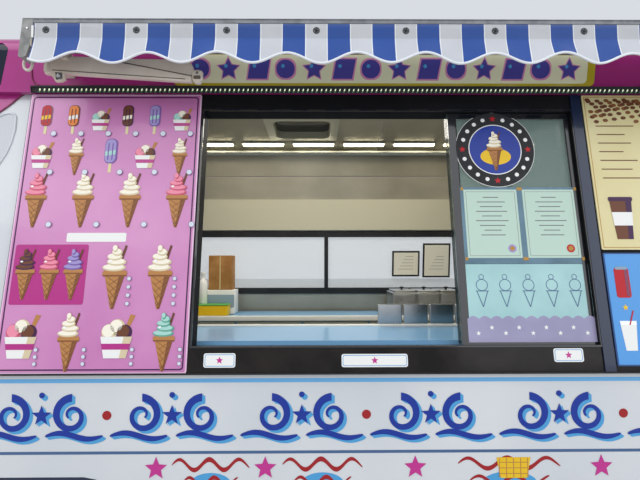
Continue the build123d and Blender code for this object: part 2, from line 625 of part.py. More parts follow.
PANE_X0, PANE_X1 = BAY_X0, OPEN_X1 - 5
PANE_V0, PANE_V1 = OPEN_V0 + 5, OPEN_V1 - 5
with BuildPart() as hatch_pane_outer:
    add(wall_slab(-1, PANE_X0, PANE_X1, PANE_V0, PANE_V1, -27, -17))
hatch_pane_outer.part.label = "hatch_pane_outer"
export_step(hatch_pane_outer.part, "parts/hatch_pane_outer.step")
with BuildPart() as hatch_pane_inner:
    add(wall_slab(-1, PANE_X0, PANE_X1, PANE_V0, PANE_V1, -43, -33))
hatch_pane_inner.part.label = "hatch_pane_inner"
export_step(hatch_pane_inner.part, "parts/hatch_pane_inner.step")

# ------------------------------------------------------------------ roof shell with fascia and over-cab pod
POD_SIDE = [(BODY_X1, LIP_Z), (-1700, LIP_Z), (-1835, LIP_Z + 60), (-1800, 2330), (-1560, 2500), (-1250, 2570),
            (-900, 2600), (BODY_X1, 2600)]


def roof_solid(t=0.0):
    """the roof's outer form, or the same form drawn in by t"""
    a, (b, zt) = FASCIA_HW, FASCIA_TOP
    section = grow([(-a, LIP_Z), (a, LIP_Z), (b, zt), (0, ROOF_Z), (-b, zt)], -t)
    with BuildPart(mode=Mode.PRIVATE) as p:
        with BuildSketch(Plane.YZ.offset(-2000)) as s:
            with BuildLine():
                Polyline(*section, close=True)
            make_face()
            fillet([v for v in s.vertices() if abs(v.X) > 900 - t and v.Y > 2380], 60 - t)
            fillet([v for v in s.vertices() if abs(v.X) < 10], 1500)
        extrude(amount=BODY_X1 + 2000)
        with BuildSketch(Plane.XZ):
            with BuildLine():
                Polyline(*grow(POD_SIDE, -t), close=True)
            make_face()
        extrude(amount=1200, both=True, mode=Mode.INTERSECT)
        hw, xr, u = max(a, b) - t, BODY_X1 - t, 0.75 * t
        with BuildSketch(Plane.XY.offset(2000)):
            with BuildLine():
                Line((xr, -hw), (-1330, -hw))
                ThreePointArc((-1330, -hw), (-1610 + u, -850 + u), (-1760 + t, -560))
                ThreePointArc((-1760 + t, -560), (-1835 + t, 0), (-1760 + t, 560))
                ThreePointArc((-1760 + t, 560), (-1610 + u, 850 - u), (-1330, hw))
                Line((-1330, hw), (xr, hw))
                Line((xr, hw), (xr, -hw))
            make_face()
        extrude(amount=800, mode=Mode.INTERSECT)
    return p.part


POD_WIN = [(-532, 2236), (-1500, 2236), (-1475, 2300), (-1340, 2400), (-514, 2400), (-487, 2376)]
VENT = dict(x=615.0, y=330.0, s=500.0)
ROOF_CUT_HW = 838.0
with BuildPart() as roof_shell:
    add(roof_solid())
    add(roof_solid(ROOF_T), mode=Mode.SUBTRACT)
    # open to the shop below, closed over the cab and as a soffit outside the walls
    add(block(BODY_X0 + 15, 2858, -ROOF_CUT_HW, ROOF_CUT_HW, LIP_Z - 50, LIP_Z + ROOF_T + 15), mode=Mode.SUBTRACT)
    # room for the wall heads
    for s in (-1, 1):
        a, b = sorted((s * ROOF_CUT_HW, s * 876.5))
        add(block(BODY_X0 - 1, 2859, a, b, LIP_Z - 50, LIP_Z + ROOF_T), mode=Mode.SUBTRACT)
    # roof hatch
    add(block(VENT["x"] - 225, VENT["x"] + 225, VENT["y"] - 225, VENT["y"] + 225, 2300, 2700), mode=Mode.SUBTRACT)
    # tinted side lights of the pod
    for y0, y1 in ((-1100, -860), (860, 1100)):
        add(poly_xz(POD_WIN, y0, y1, 12), mode=Mode.SUBTRACT)
roof_shell.part.label = "roof_shell"
export_step(roof_shell.part, "parts/roof_shell.step")

# ------------------------------------------------------------------ fixed windows
pod_glass = roof_solid(4) - roof_solid(10)
with BuildPart(mode=Mode.PRIVATE) as pg:
    add(pod_glass)
    add(poly_xz(grow(POD_WIN, -0.5), -1100, -860, 12), mode=Mode.INTERSECT)
with BuildPart() as fixed_windows:
    add(pg.part)
    add(mirror_y(pg.part))
    add(wall_slab(-1, PANE_X0, OPEN_X1 - 0.5, OPEN_V0 + 0.5, OPEN_V1 - 0.5, -11, -1))
    add(wall_slab(1, ox0 + 0.5, ox1 - 0.5, ov0 + 0.5, ov1 - 0.5, -18, -12, 50))
fixed_windows.part.label = "fixed_windows"
export_step(fixed_windows.part, "parts/fixed_windows.step")

# ------------------------------------------------------------------ roof vent and the two big cones
VENT_Z = 2540.0
with BuildPart() as roof_vent:
    add(block(VENT["x"] - 224, VENT["x"] + 224, VENT["y"] - 224, VENT["y"] + 224, 2470, 2600, 20))
    add(block(VENT["x"] - 196, VENT["x"] + 196, VENT["y"] - 196, VENT["y"] + 196, 2400, 2590, 20),
        mode=Mode.SUBTRACT)
    add(block(VENT["x"] - 235, VENT["x"] + 235, VENT["y"] - 235, VENT["y"] + 235, 2600, 2645, 30))
    add(block(VENT["x"] - 196, VENT["x"] + 196, VENT["y"] - 196, VENT["y"] + 196, 2400, 2628, 20),
        mode=Mode.SUBTRACT)
roof_vent.part.label = "roof_vent"
export_step(roof_vent.part, "parts/roof_vent.step")

CONE = [(0, 2480), (84, 2480), (90, 2560), (145, 2762), (158, 2772), (158, 2818), (142, 2828), (140, 2868),
        (118, 2908), (86, 2950), (46, 2990), (17, 3024), (0, 3030)]
CONE_X = (-1400.0, 2640.0)
roof_block = roof_solid(-0.4)
with BuildPart() as roof_cones:
    for x in CONE_X:
        with BuildSketch(Plane.XZ):
            with BuildLine():
                Polyline(*[(x + r, z) for r, z in CONE], close=True)
            make_face()
        revolve(axis=Axis((x, 0, 0), (0, 0, 1)), revolution_arc=360)
    add(roof_block, mode=Mode.SUBTRACT)
roof_cones.part.label = "roof_cones"
export_step(roof_cones.part, "parts/roof_cones.step")


# ------------------------------------------------------------------ rear panel and door
def rear_outline(g):
    """body section at the rear, drawn in by g"""
    hw = BODY_HW - g
    top = hw - TL * (LIP_Z - 2 - WAIST_Z)
    return [(-hw, SKIRT_Z), (hw, SKIRT_Z), (hw, WAIST_Z), (top, LIP_Z - 2), (-top, LIP_Z - 2), (-hw, WAIST_Z)]


REAR_T = 36.0
RX0 = BODY_X1 - REAR_T
rear_cut = block(RX0 - 20, BODY_X1 + 20, -RDOOR_HW - GAP, RDOOR_HW + GAP, RDOOR_Z0 - GAP, RDOOR_Z1 + GAP)
with BuildPart() as rear_panel:
    add(poly_yz(rear_outline(0), RX0, BODY_X1))
    add(rear_cut, mode=Mode.SUBTRACT)
    add(block(RX0 - 60, BODY_X1 + 60, -1016.5, 1016.5, 300, 522), mode=Mode.SUBTRACT)
    q = RDOOR_PIN
    for z in RDOOR_HINGE_Z:
        add(rod("Z", q["x"], q["y"], z, 80, q["r"]))
        for zl in (z, z + 66):
            add(rod("Z", q["x"], q["y"], zl, 14, 9))
            add(block(q["x"] - 7, q["x"] + 7, q["y"], q["y"] + 44, zl, zl + 14))
            add(block(BODY_X1 - 12, q["x"] + 4, q["y"] + 9, q["y"] + 44, zl, zl + 14))
rear_panel.part.label = "rear_panel"
export_step(rear_panel.part, "parts/rear_panel.step")

with BuildPart() as rear_door:
    add(block(RX0, BODY_X1, -RDOOR_HW, RDOOR_HW, RDOOR_Z0, RDOOR_Z1))
    add(poly_yz([(-250, 1380), (250, 1380), (250, 1850), (-250, 1850)], RX0 + 14, BODY_X1 - 14, 40),
        mode=Mode.SUBTRACT)
    add(poly_yz([(-250, 1380), (250, 1380), (250, 1850), (-250, 1850)], RX0 - 5, BODY_X1 + 5, 40),
        mode=Mode.SUBTRACT)
    add(poly_yz([(-251, 1379), (251, 1379), (251, 1851), (-251, 1851)], RX0 + 15, RX0 + 21, 40))
    add(block(BODY_X1, BODY_X1 + 28, -320, -290, 1150, 1290, 8))
    q = RDOOR_PIN
    for z in RDOOR_HINGE_Z:
        add(rod("Z", q["x"], q["y"], z + 16, 48, 10))
        add(block(BODY_X1 - 12, q["x"] - 2, q["y"] - 74, q["y"] - 6, z + 20, z + 60))
    for z in RDOOR_HINGE_Z:
        add(rod("Z", q["x"], q["y"], z, 80, q["r"] + 0.4), mode=Mode.SUBTRACT)
rear_door.part.label = "rear_door"
export_step(rear_door.part, "parts/rear_door.step")

# ------------------------------------------------------------------ counters
COUNTERS = [dict(s=-1, back=955.0, front=570.0, top=1250.0), dict(s=1, back=960.0, front=570.0, top=1150.0)]
with BuildPart() as counters:
    for c in COUNTERS:
        def span(p, q):
            return sorted((c["s"] * p, c["s"] * q))
        a, b = span(c["back"], c["front"])
        add(block(-380, 2560, a, b, c["top"] - 28, c["top"]))                 # worktop
        a, b = span(c["front"] + 30, c["front"] + 50)
        add(block(-380, 2560, a, b, FLOOR_Z1, c["top"] - 28))                 # front of the cupboards
        a, b = span(c["back"], c["front"] + 50)
        for x in (-380, 340, 1040, 1800, 2540):
            add(block(x, x + 20, a, b, 805, c["top"] - 28))                   # partitions
        a, b = span(c["back"], c["front"] + 30)
        add(block(-380, 2560, a, b, 805, 820))                                # cupboard floor over the wheel box
counters.part.label = "counters"
export_step(counters.part, "parts/counters.step")

# ------------------------------------------------------------------ awning
AWN_ARMS = [  # end x, direction along X toward the elbow
    (-265.0, 1), (2590.0, -1)]
ARM_SIDE = [(-12, 2229), (-12, 2272), (10, 2290), (420, 2282), (540, 2262), (540, 2195)]  # along the arm, z
with BuildPart() as awning_arms:
    for x, d in AWN_ARMS:
        a, b = sorted((x - d * 27, x + d * 45))
        add(poly_yz([(-1052, 2226), (-907.8, 2226), (-931.4, 2350), (-1052, 2350)], a, b))  # wall bracket
        add(poly_xz([(x + d * u, z) for u, z in ARM_SIDE], -1046, -1024))  # the two folded halves of the arm
        add(rod("Z", x + d * 543, -1035, 2192, 72, 21))       # elbow
        a, b = sorted((x + d * 50, x + d * 80))
        add(block(a, b, -1060, -1024, 2272, 2345))            # link to the front bar
    add(rod("X", AWN_ARMS[0][0] - 27, -1015, 2352, AWN_ARMS[1][0] - AWN_ARMS[0][0] + 54, 34))  # roller
awning_arms.part.label = "awning_arms"
export_step(awning_arms.part, "parts/awning_arms.step")

with BuildPart() as awning_bar:
    with BuildSketch(Plane.YZ.offset(AWN_X0)) as s:
        with BuildLine():
            Polyline((AWN_Y, 2320), (AWN_Y, 2380), (AWN_Y + 8, AWN_TOP), (-1062, AWN_TOP), (-1058, 2378),
                     (-1058, 2336), (-1075, 2320), close=True)
        make_face()
    extrude(amount=AWN_X1 - AWN_X0)
    add(awning_arms.part, mode=Mode.SUBTRACT)
awning_bar.part.label = "awning_bar"
export_step(awning_bar.part, "parts/awning_bar.step")

with BuildPart() as awning_valance:
    y = AWN_Y - 0.1
    add(poly_yz([(y, 2372), (y, 2322), (y - 20, VAL_BOTTOM), (y - 22.6, VAL_BOTTOM), (y - 2.6, 2322),
                 (y - 2.6, 2372)], AWN_X0 + 38, AWN_X1 - 12))
awning_valance.part.label = "awning_valance"
export_step(awning_valance.part, "parts/awning_valance.step")
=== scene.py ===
import bpy
import math
import random
from mathutils import Matrix, Vector
from mathutils.geometry import tessellate_polygon


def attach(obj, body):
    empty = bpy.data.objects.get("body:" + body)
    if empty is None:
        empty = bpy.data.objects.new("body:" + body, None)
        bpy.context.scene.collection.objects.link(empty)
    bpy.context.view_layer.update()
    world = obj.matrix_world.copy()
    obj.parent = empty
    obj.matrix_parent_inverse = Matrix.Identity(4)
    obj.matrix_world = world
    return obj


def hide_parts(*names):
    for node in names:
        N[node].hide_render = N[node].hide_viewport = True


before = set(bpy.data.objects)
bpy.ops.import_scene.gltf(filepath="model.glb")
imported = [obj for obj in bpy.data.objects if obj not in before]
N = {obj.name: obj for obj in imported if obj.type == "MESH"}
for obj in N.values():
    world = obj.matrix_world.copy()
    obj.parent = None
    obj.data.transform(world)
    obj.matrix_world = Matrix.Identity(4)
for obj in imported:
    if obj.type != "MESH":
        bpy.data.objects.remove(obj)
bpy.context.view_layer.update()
rnd = random.Random(7)

# ------------------------------------------------------------------ dimensions shared with the CAD (metres)
LEAN = math.radians(8.4)
TL, CL, SL = math.tan(LEAN), math.cos(LEAN), math.sin(LEAN)
BODY_HW, WAIST, BX0, BX1 = 1.030, 1.150, -0.725, 2.895
AXF, AXR, TR, WY = -2.060, 1.605, 0.348, 0.845


# ------------------------------------------------------------------ materials
def pr(name, color, rough=0.5, metal=0.0, coat=0.0, coat_rough=0.05, alpha=1.0, trans=0.0, ior=1.45,
       emit=None, strength=0.0, sheen=0.0, spec=0.5):
    m = bpy.data.materials.new(name)
    m.use_nodes = True
    b = m.node_tree.nodes["Principled BSDF"]
    b.inputs["Base Color"].default_value = (*color, 1)
    b.inputs["Roughness"].default_value = rough
    b.inputs["Metallic"].default_value = metal
    b.inputs["Coat Weight"].default_value = coat
    b.inputs["Coat Roughness"].default_value = coat_rough
    b.inputs["Alpha"].default_value = alpha
    b.inputs["Transmission Weight"].default_value = trans
    b.inputs["IOR"].default_value = ior
    b.inputs["Specular IOR Level"].default_value = spec
    b.inputs["Sheen Weight"].default_value = sheen
    if emit:
        b.inputs["Emission Color"].default_value = (*emit, 1)
        b.inputs["Emission Strength"].default_value = strength
    return m


def nodes_of(m):
    nt = m.node_tree
    return nt, nt.nodes["Principled BSDF"]


def vary(m, c1, c2, scale=3.0, detail=4.0, lo=0.35, hi=0.65, rough=None, bump=0.0, bump_scale=60.0):
    """soft procedural variation of colour, and of roughness where rough=(a, b) is given"""
    nt, b = nodes_of(m)
    tc = nt.nodes.new("ShaderNodeTexCoord")
    no = nt.nodes.new("ShaderNodeTexNoise")
    no.inputs["Scale"].default_value = scale
    no.inputs["Detail"].default_value = detail
    nt.links.new(tc.outputs["Object"], no.inputs["Vector"])
    rp = nt.nodes.new("ShaderNodeValToRGB")
    rp.color_ramp.elements[0].position, rp.color_ramp.elements[1].position = lo, hi
    rp.color_ramp.elements[0].color, rp.color_ramp.elements[1].color = (*c1, 1), (*c2, 1)
    nt.links.new(no.outputs["Fac"], rp.inputs["Fac"])
    nt.links.new(rp.outputs["Color"], b.inputs["Base Color"])
    if rough:
        mr = nt.nodes.new("ShaderNodeMapRange")
        mr.inputs["To Min"].default_value, mr.inputs["To Max"].default_value = rough
        nt.links.new(no.outputs["Fac"], mr.inputs["Value"])
        nt.links.new(mr.outputs["Result"], b.inputs["Roughness"])
    if bump:
        n2 = nt.nodes.new("ShaderNodeTexNoise")
        n2.inputs["Scale"].default_value = bump_scale
        nt.links.new(tc.outputs["Object"], n2.inputs["Vector"])
        bp = nt.nodes.new("ShaderNodeBump")
        bp.inputs["Strength"].default_value = bump
        bp.inputs["Distance"].default_value = 0.002
        nt.links.new(n2.outputs["Fac"], bp.inputs["Height"])
        nt.links.new(bp.outputs["Normal"], b.inputs["Normal"])
    return m


def srgb(h):
    """colour from a hex code"""
    v = [int(h[i:i + 2], 16) / 255 for i in (0, 2, 4)]
    return tuple(c / 12.92 if c <= 0.04045 else ((c + 0.055) / 1.055) ** 2.4 for c in v)


M = {}
M["white"] = vary(pr("white_gelcoat", srgb("D3D7DB"), 0.22, coat=0.6), srgb("CDD2D7"), srgb("DADDE0"), 1.4)
# slightly darker white: painted shade inside the side recess
M["white_painted_recess_shade"] = vary(pr("white_gelcoat_painted_recess_shade", srgb("C6CBD0"), 0.35, coat=0.4), srgb("C0C5CB"), srgb("CDD1D5"), 1.4)
M["magenta"] = vary(pr("magenta_gelcoat", srgb("AB2A80"), 0.32, coat=0.4, coat_rough=0.12), srgb("A12476"), srgb("B5338B"), 1.1)
# deep magenta: shade colour in the prints, and painted shade on the moulding beads
M["magenta_deep_print_and_painted_edge_shade"] = pr("magenta_deep_print_and_painted_edge_shade", srgb("7A1848"), 0.3, coat=0.5)
M["black_gloss"] = vary(pr("black_gloss", srgb("15161A"), 0.12, coat=0.8), srgb("121317"), srgb("1B1C20"), 5,
                        rough=(0.08, 0.22))
M["black_sill"] = vary(pr("black_sill", srgb("161413"), 0.10, spec=0.30), srgb("120F0E"), srgb("231D1A"), 9)
M["black_matt"] = vary(pr("black_matt", srgb("1E1F22"), 0.6), srgb("1A1B1E"), srgb("26272A"), 8)
M["plastic_dark"] = vary(pr("plastic_dark", srgb("35373B"), 0.62), srgb("303236"), srgb("3B3D41"), 6, bump=0.25,
                         bump_scale=900)
M["rubber"] = vary(pr("rubber", srgb("1B1B1C"), 0.75), srgb("161617"), srgb("232324"), 20)
M["tyre"] = vary(pr("tyre", srgb("212122"), 0.8), srgb("1A1A1B"), srgb("2B2A29"), 9, rough=(0.65, 0.9))
M["steel"] = vary(pr("brushed_steel", srgb("B9BBBC"), 0.32, metal=1.0), srgb("A9ABAC"), srgb("C6C8C9"), 4)
M["alu_dark"] = vary(pr("aluminium_worn", srgb("6E7073"), 0.5, metal=0.6), srgb("4E5054"), srgb("86888A"), 90)
M["arm"] = vary(pr("arm_cream_grey", srgb("E0D4C4"), 0.46, coat=0.15), srgb("D8CBBA"), srgb("E8DDCE"), 8)
# darker grey-brown for lines and insets on the arm castings: painted shade
M["arm_painted_shade"] = pr("arm_shade", srgb("6F6658"), 0.6)
M["cream_eye"] = pr("winding_eye", srgb("CFC9BC"), 0.4, coat=0.3)
M["chrome"] = pr("chrome", srgb("E6E8EA"), 0.08, metal=1.0)
M["alu"] = vary(pr("aluminium", srgb("A5A6A6"), 0.42, metal=0.8), srgb("98999A"), srgb("B0B1B1"), 12)
M["alu_warm"] = vary(pr("arm_grey_beige", srgb("A79E8C"), 0.5, metal=0.2), srgb("9E9482"), srgb("B0A898"), 10)
M["iron"] = vary(pr("cast_iron", srgb("3A3A3B"), 0.75, metal=0.4), srgb("2E2E2F"), srgb("4A4644"), 14)
M["chassis"] = vary(pr("chassis_black", srgb("202124"), 0.55), srgb("1B1C1F"), srgb("2D2B29"), 5)
M["rim"] = vary(pr("rim_silver", srgb("B6B8BA"), 0.38, metal=0.65, coat=0.3), srgb("A8AAAC"), srgb("C0C2C3"), 15)
M["cream"] = pr("cream_sign", srgb("E4E3C0"), 0.42, coat=0.3)
M["gold"] = pr("olive_gold", srgb("B9A51E"), 0.35, coat=0.3)
M["blue_light"] = pr("stripe_light_blue", srgb("66AEE2"), 0.3, coat=0.4)
M["blue_slate"] = pr("stripe_slate_blue", srgb("41618C"), 0.35, coat=0.4)
M["blue_dark"] = pr("ornament_blue", srgb("002E96"), 0.36, coat=0.15, coat_rough=0.1)
M["blue_mid"] = pr("ornament_light_blue", srgb("4A9FD6"), 0.34, coat=0.2, coat_rough=0.1)
M["navy"] = pr("navy", srgb("12213F"), 0.28, coat=0.5)
M["pink"] = vary(pr("board_pink", srgb("CE84BC"), 0.35, coat=0.3), srgb("D693C4"), srgb("C273B0"), 1.6)
M["pink_edge"] = pr("board_pale_pink", srgb("E9C3DF"), 0.35, coat=0.3)
M["purple_line"] = pr("board_purple_line", srgb("3E1145"), 0.4)
M["magenta_print"] = pr("print_magenta", srgb("B52383"), 0.35, coat=0.3)
M["white_print"] = pr("print_white", srgb("F1F1EE"), 0.4)
M["paper"] = pr("paper", srgb("E9E7D8"), 0.6)
M["paper_mint"] = pr("paper_mint", srgb("C0D8CA"), 0.6)
M["ink"] = pr("ink_grey", srgb("6B6F74"), 0.6)
M["red"] = pr("print_red", srgb("BC0B1B"), 0.42)
M["yellow"] = pr("print_yellow", srgb("EDC21C"), 0.4)
M["orange"] = pr("print_orange", srgb("E9822A"), 0.4)
M["green"] = pr("print_green", srgb("5BAE4A"), 0.4)
M["lilac"] = pr("print_lilac", srgb("A294CC"), 0.4)
M["mint"] = pr("print_mint", srgb("A9D8CF"), 0.4)
M["brown"] = pr("print_brown", srgb("6B3B22"), 0.45)
M["waffle_print"] = pr("print_waffle", srgb("B98046"), 0.45)
M["waffle_dark"] = pr("print_waffle_shade", srgb("84512A"), 0.45)
M["ice_shade"] = pr("print_ice_shade", srgb("D9C9A6"), 0.45)
M["strawberry_shade"] = pr("print_strawberry_shade", srgb("C9566F"), 0.45)
M["mint_shade"] = pr("print_mint_shade", srgb("5FA48F"), 0.45)
M["lilac_shade"] = pr("print_lilac_shade", srgb("7659A6"), 0.45)
M["price_white"] = pr("print_price_white", srgb("D9DEEA"), 0.45)
M["gloss_spot"] = pr("print_highlight", srgb("FFFFFF"), 0.35)
M["ice"] = pr("print_ice_cream", srgb("FBF4E2"), 0.45)
M["strawberry"] = pr("print_strawberry", srgb("F08FA8"), 0.45)
M["board_cream"] = vary(pr("board_cream", srgb("DFD4A0"), 0.4, coat=0.2), srgb("DBCF98"), srgb("E3D9A8"), 3)
M["board_blue"] = pr("board_blue", srgb("4F9BE0"), 0.35, coat=0.2)
M["board_blue_edge"] = pr("board_blue_edge", srgb("2A4F86"), 0.35)
M["ochre"] = pr("ochre", srgb("B88A3A"), 0.5)
M["backing"] = pr("card_backing", srgb("8FA3B5"), 0.5)
M["backing_teal"] = vary(pr("card_backing_teal", srgb("5C7A88"), 0.45), srgb("4F6D7C"), srgb("68879A"), 6)
M["poster_lilac"] = vary(pr("poster_lilac", srgb("A09CBC"), 0.4), srgb("9894B4"), srgb("A9A4C4"), 5)
M["poster_mint"] = vary(pr("poster_mint", srgb("A6CFCF"), 0.4), srgb("9EC8C9"), srgb("AED6D6"), 5)
M["inside"] = vary(pr("inside_lining", srgb("A8A496"), 0.34, metal=0.35), srgb("9C988A"), srgb("B3AFA1"), 2.0,
                   rough=(0.22, 0.4))
M["inside_cream"] = pr("inside_cream", srgb("C9C5B0"), 0.4)
M["counter"] = pr("counter_blue", srgb("7FB2DA"), 0.28, coat=0.3)
M["counter_edge"] = pr("counter_edge_white", srgb("E8E9E4"), 0.35)
M["floor_grey"] = vary(pr("floor_grey", srgb("6E7175"), 0.6), srgb("64676B"), srgb("7A7D81"), 30)
M["glass"] = pr("clear_glass", (0.86, 0.92, 0.92), 0.09, alpha=0.22, spec=0.6)
M["glass_pane"] = pr("sliding_pane_glass", srgb("2C4A4A"), 0.09, alpha=0.40, spec=0.5)
M["alu_strip"] = vary(pr("aluminium_dull", srgb("83868A"), 0.55, metal=0.4), srgb("787B7F"), srgb("8D9094"), 30)
M["cap_grey"] = vary(pr("end_cap_grey", srgb("8B8C8A"), 0.5, coat=0.2), srgb("6E6F6E"), srgb("9B9C99"), 26)
M["rosette"] = pr("rosette_grey", srgb("4C4E52"), 0.5, metal=0.5)
M["black_satin"] = vary(pr("black_satin", srgb("141518"), 0.66, spec=0.15), srgb("111215"), srgb("1A1B1F"), 5)
M["sign_purple"] = pr("sign_purple_blue", srgb("4A4399"), 0.35, coat=0.2)
M["sign_pink"] = pr("sign_pink", srgb("D98CB4"), 0.35, coat=0.2)
M["kraft"] = vary(pr("kraft_card", srgb("A9773F"), 0.75), srgb("9C6C37"), srgb("B5844C"), 14)
M["glass_dark"] = pr("tinted_glass", srgb("131C2C"), 0.06, alpha=0.88, coat=0.5)
M["glass_cab"] = pr("cab_glass", srgb("5C6E70"), 0.09, alpha=0.38, spec=0.6)
M["mirror"] = pr("mirror_glass", srgb("D8DEE2"), 0.02, metal=1.0)
M["lens"] = pr("clear_lens", (0.93, 0.96, 0.98), 0.03, alpha=0.3, coat=1.0)
M["lens_red"] = pr("red_lens", srgb("B3121B"), 0.15, coat=0.8)
M["lens_amber"] = pr("amber_lens", srgb("E9841A"), 0.15, coat=0.8)
M["lens_white"] = pr("white_lens", srgb("E6E9EA"), 0.15, coat=0.8)
M["led"] = pr("led_dot", srgb("DCE8C8"), 0.3, emit=srgb("D5E2BE"), strength=0.62)
M["led_painted_reflection"] = pr("led_reflection", srgb("4E7A55"), 0.3, emit=srgb("5E9466"), strength=0.35)
M["lamp_glow"] = pr("lamp_glow", srgb("FFF6DD"), 0.3, emit=srgb("FFF3D0"), strength=9.0)
M["plate_white"] = pr("plate_white", srgb("F4F4F2"), 0.35, coat=0.4)
M["plate_yellow"] = pr("plate_yellow", srgb("F0C02A"), 0.35, coat=0.4)
M["piping"] = pr("valance_piping", srgb("EDF0F4"), 0.6, sheen=0.2)
M["star"] = pr("star_magenta", srgb("C2268C"), 0.3, coat=0.4)
M["ribbon"] = pr("ribbon_red", srgb("A00815"), 0.36, coat=0.2, coat_rough=0.1)
M["waffle"] = vary(pr("cone_waffle", srgb("D2A25E"), 0.5), srgb("C89650"), srgb("DDB070"), 12)
M["swirl"] = pr("cone_swirl", srgb("F5EFDC"), 0.28, coat=0.4)
M["flake"] = pr("cone_flake", srgb("4A2614"), 0.55)
M["dash"] = vary(pr("dash_plastic", srgb("2C2D31"), 0.6), srgb("28292D"), srgb("333438"), 30, bump=0.3, bump_scale=800)

MN = {}


def stripe_fabric(name, x0, pitch, fold_z, ca, cb, cl):
    """cloth in upright stripes by object X: off-white with thin white edges, then blue; fine weave"""
    m = pr(name, ca, 0.72, sheen=0.3)
    nt, b = nodes_of(m)
    tc = nt.nodes.new("ShaderNodeTexCoord")
    sx = nt.nodes.new("ShaderNodeSeparateXYZ")
    nt.links.new(tc.outputs["Object"], sx.inputs[0])

    def math_node(op, a, v):
        n = nt.nodes.new("ShaderNodeMath")
        n.operation = op
        nt.links.new(a, n.inputs[0])
        if v is not None:
            n.inputs[1].default_value = v
        return n.outputs[0]
    t = math_node("SUBTRACT", sx.outputs["X"], x0)
    t = math_node("DIVIDE", t, 2 * pitch)
    t = math_node("FRACT", t, None)
    rp = nt.nodes.new("ShaderNodeValToRGB")
    rp.color_ramp.interpolation = "CONSTANT"
    w = 0.0036 / (2 * pitch)
    e = rp.color_ramp.elements
    e[0].position, e[0].color = 0.0, (*cl, 1)
    e[1].position, e[1].color = w, (*ca, 1)
    for pos, col in ((0.5 - w, cl), (0.5, cb)):
        k = e.new(pos)
        k.color = (*col, 1)
    nt.links.new(t, rp.inputs["Fac"])
    # soft stains and fading, a little greyer where the cloth lies on the bar
    no = nt.nodes.new("ShaderNodeTexNoise")
    no.inputs["Scale"].default_value = 7
    no.inputs["Detail"].default_value = 5
    nt.links.new(tc.outputs["Object"], no.inputs["Vector"])
    r2 = nt.nodes.new("ShaderNodeValToRGB")
    r2.color_ramp.elements[0].position, r2.color_ramp.elements[1].position = 0.35, 0.62
    r2.color_ramp.elements[0].color = (0.80, 0.80, 0.82, 1)
    r2.color_ramp.elements[1].color = (1, 1, 1, 1)
    nt.links.new(no.outputs["Fac"], r2.inputs["Fac"])
    mul = nt.nodes.new("ShaderNodeMix")
    mul.data_type, mul.blend_type = "RGBA", "MULTIPLY"
    mul.inputs["Factor"].default_value = 0.45
    nt.links.new(rp.outputs["Color"], mul.inputs["A"])
    nt.links.new(r2.outputs["Color"], mul.inputs["B"])
    up = math_node("SUBTRACT", sx.outputs["Z"], fold_z)
    up = math_node("MULTIPLY", up, 400.0)
    cl2 = nt.nodes.new("ShaderNodeClamp")
    nt.links.new(up, cl2.inputs[0])
    mu2 = nt.nodes.new("ShaderNodeMix")
    mu2.data_type, mu2.blend_type = "RGBA", "MULTIPLY"
    mu2.inputs["B"].default_value = (0.86, 0.85, 0.83, 1)
    nt.links.new(cl2.outputs[0], mu2.inputs["Factor"])
    nt.links.new(mul.outputs["Result"], mu2.inputs["A"])
    nt.links.new(mu2.outputs["Result"], b.inputs["Base Color"])
    wv = nt.nodes.new("ShaderNodeTexWave")
    wv.inputs["Scale"].default_value = 420
    wv.bands_direction = "Z"
    wv2 = nt.nodes.new("ShaderNodeTexWave")
    wv2.inputs["Scale"].default_value = 420
    wv2.bands_direction = "X"
    add = nt.nodes.new("ShaderNodeMath")
    add.operation = "ADD"
    nt.links.new(tc.outputs["Object"], wv.inputs["Vector"])
    nt.links.new(tc.outputs["Object"], wv2.inputs["Vector"])
    nt.links.new(wv.outputs["Fac"], add.inputs[0])
    nt.links.new(wv2.outputs["Fac"], add.inputs[1])
    bp = nt.nodes.new("ShaderNodeBump")
    bp.inputs["Strength"].default_value = 0.2
    bp.inputs["Distance"].default_value = 0.0006
    nt.links.new(add.outputs[0], bp.inputs["Height"])
    nt.links.new(bp.outputs["Normal"], b.inputs["Normal"])
    return m


def woven(name, color, scale=260):
    m = pr(name, color, 0.85, sheen=0.4)
    nt, b = nodes_of(m)
    tc = nt.nodes.new("ShaderNodeTexCoord")
    vo = nt.nodes.new("ShaderNodeTexVoronoi")
    vo.inputs["Scale"].default_value = scale
    nt.links.new(tc.outputs["Object"], vo.inputs["Vector"])
    rp = nt.nodes.new("ShaderNodeValToRGB")
    rp.color_ramp.elements[0].color = (*[c * 0.6 for c in color], 1)
    rp.color_ramp.elements[1].color = (*[min(1, c * 1.5) for c in color], 1)
    nt.links.new(vo.outputs["Distance"], rp.inputs["Fac"])
    nt.links.new(rp.outputs["Color"], b.inputs["Base Color"])
    bp = nt.nodes.new("ShaderNodeBump")
    bp.inputs["Strength"].default_value = 0.35
    bp.inputs["Distance"].default_value = 0.001
    nt.links.new(vo.outputs["Distance"], bp.inputs["Height"])
    nt.links.new(bp.outputs["Normal"], b.inputs["Normal"])
    return m


M["seat"] = woven("seat_cloth", srgb("30343F"))
M["seat_side"] = woven("seat_side_cloth", srgb("1F2024"))


# ------------------------------------------------------------------ frames on the object (x, up, out)
def axes(ox, oy, oz, xa, ya, za):
    m = Matrix.Identity(4)
    for i in range(3):
        m[i][0], m[i][1], m[i][2], m[i][3] = xa[i], ya[i], za[i], (ox, oy, oz)[i]
    return m


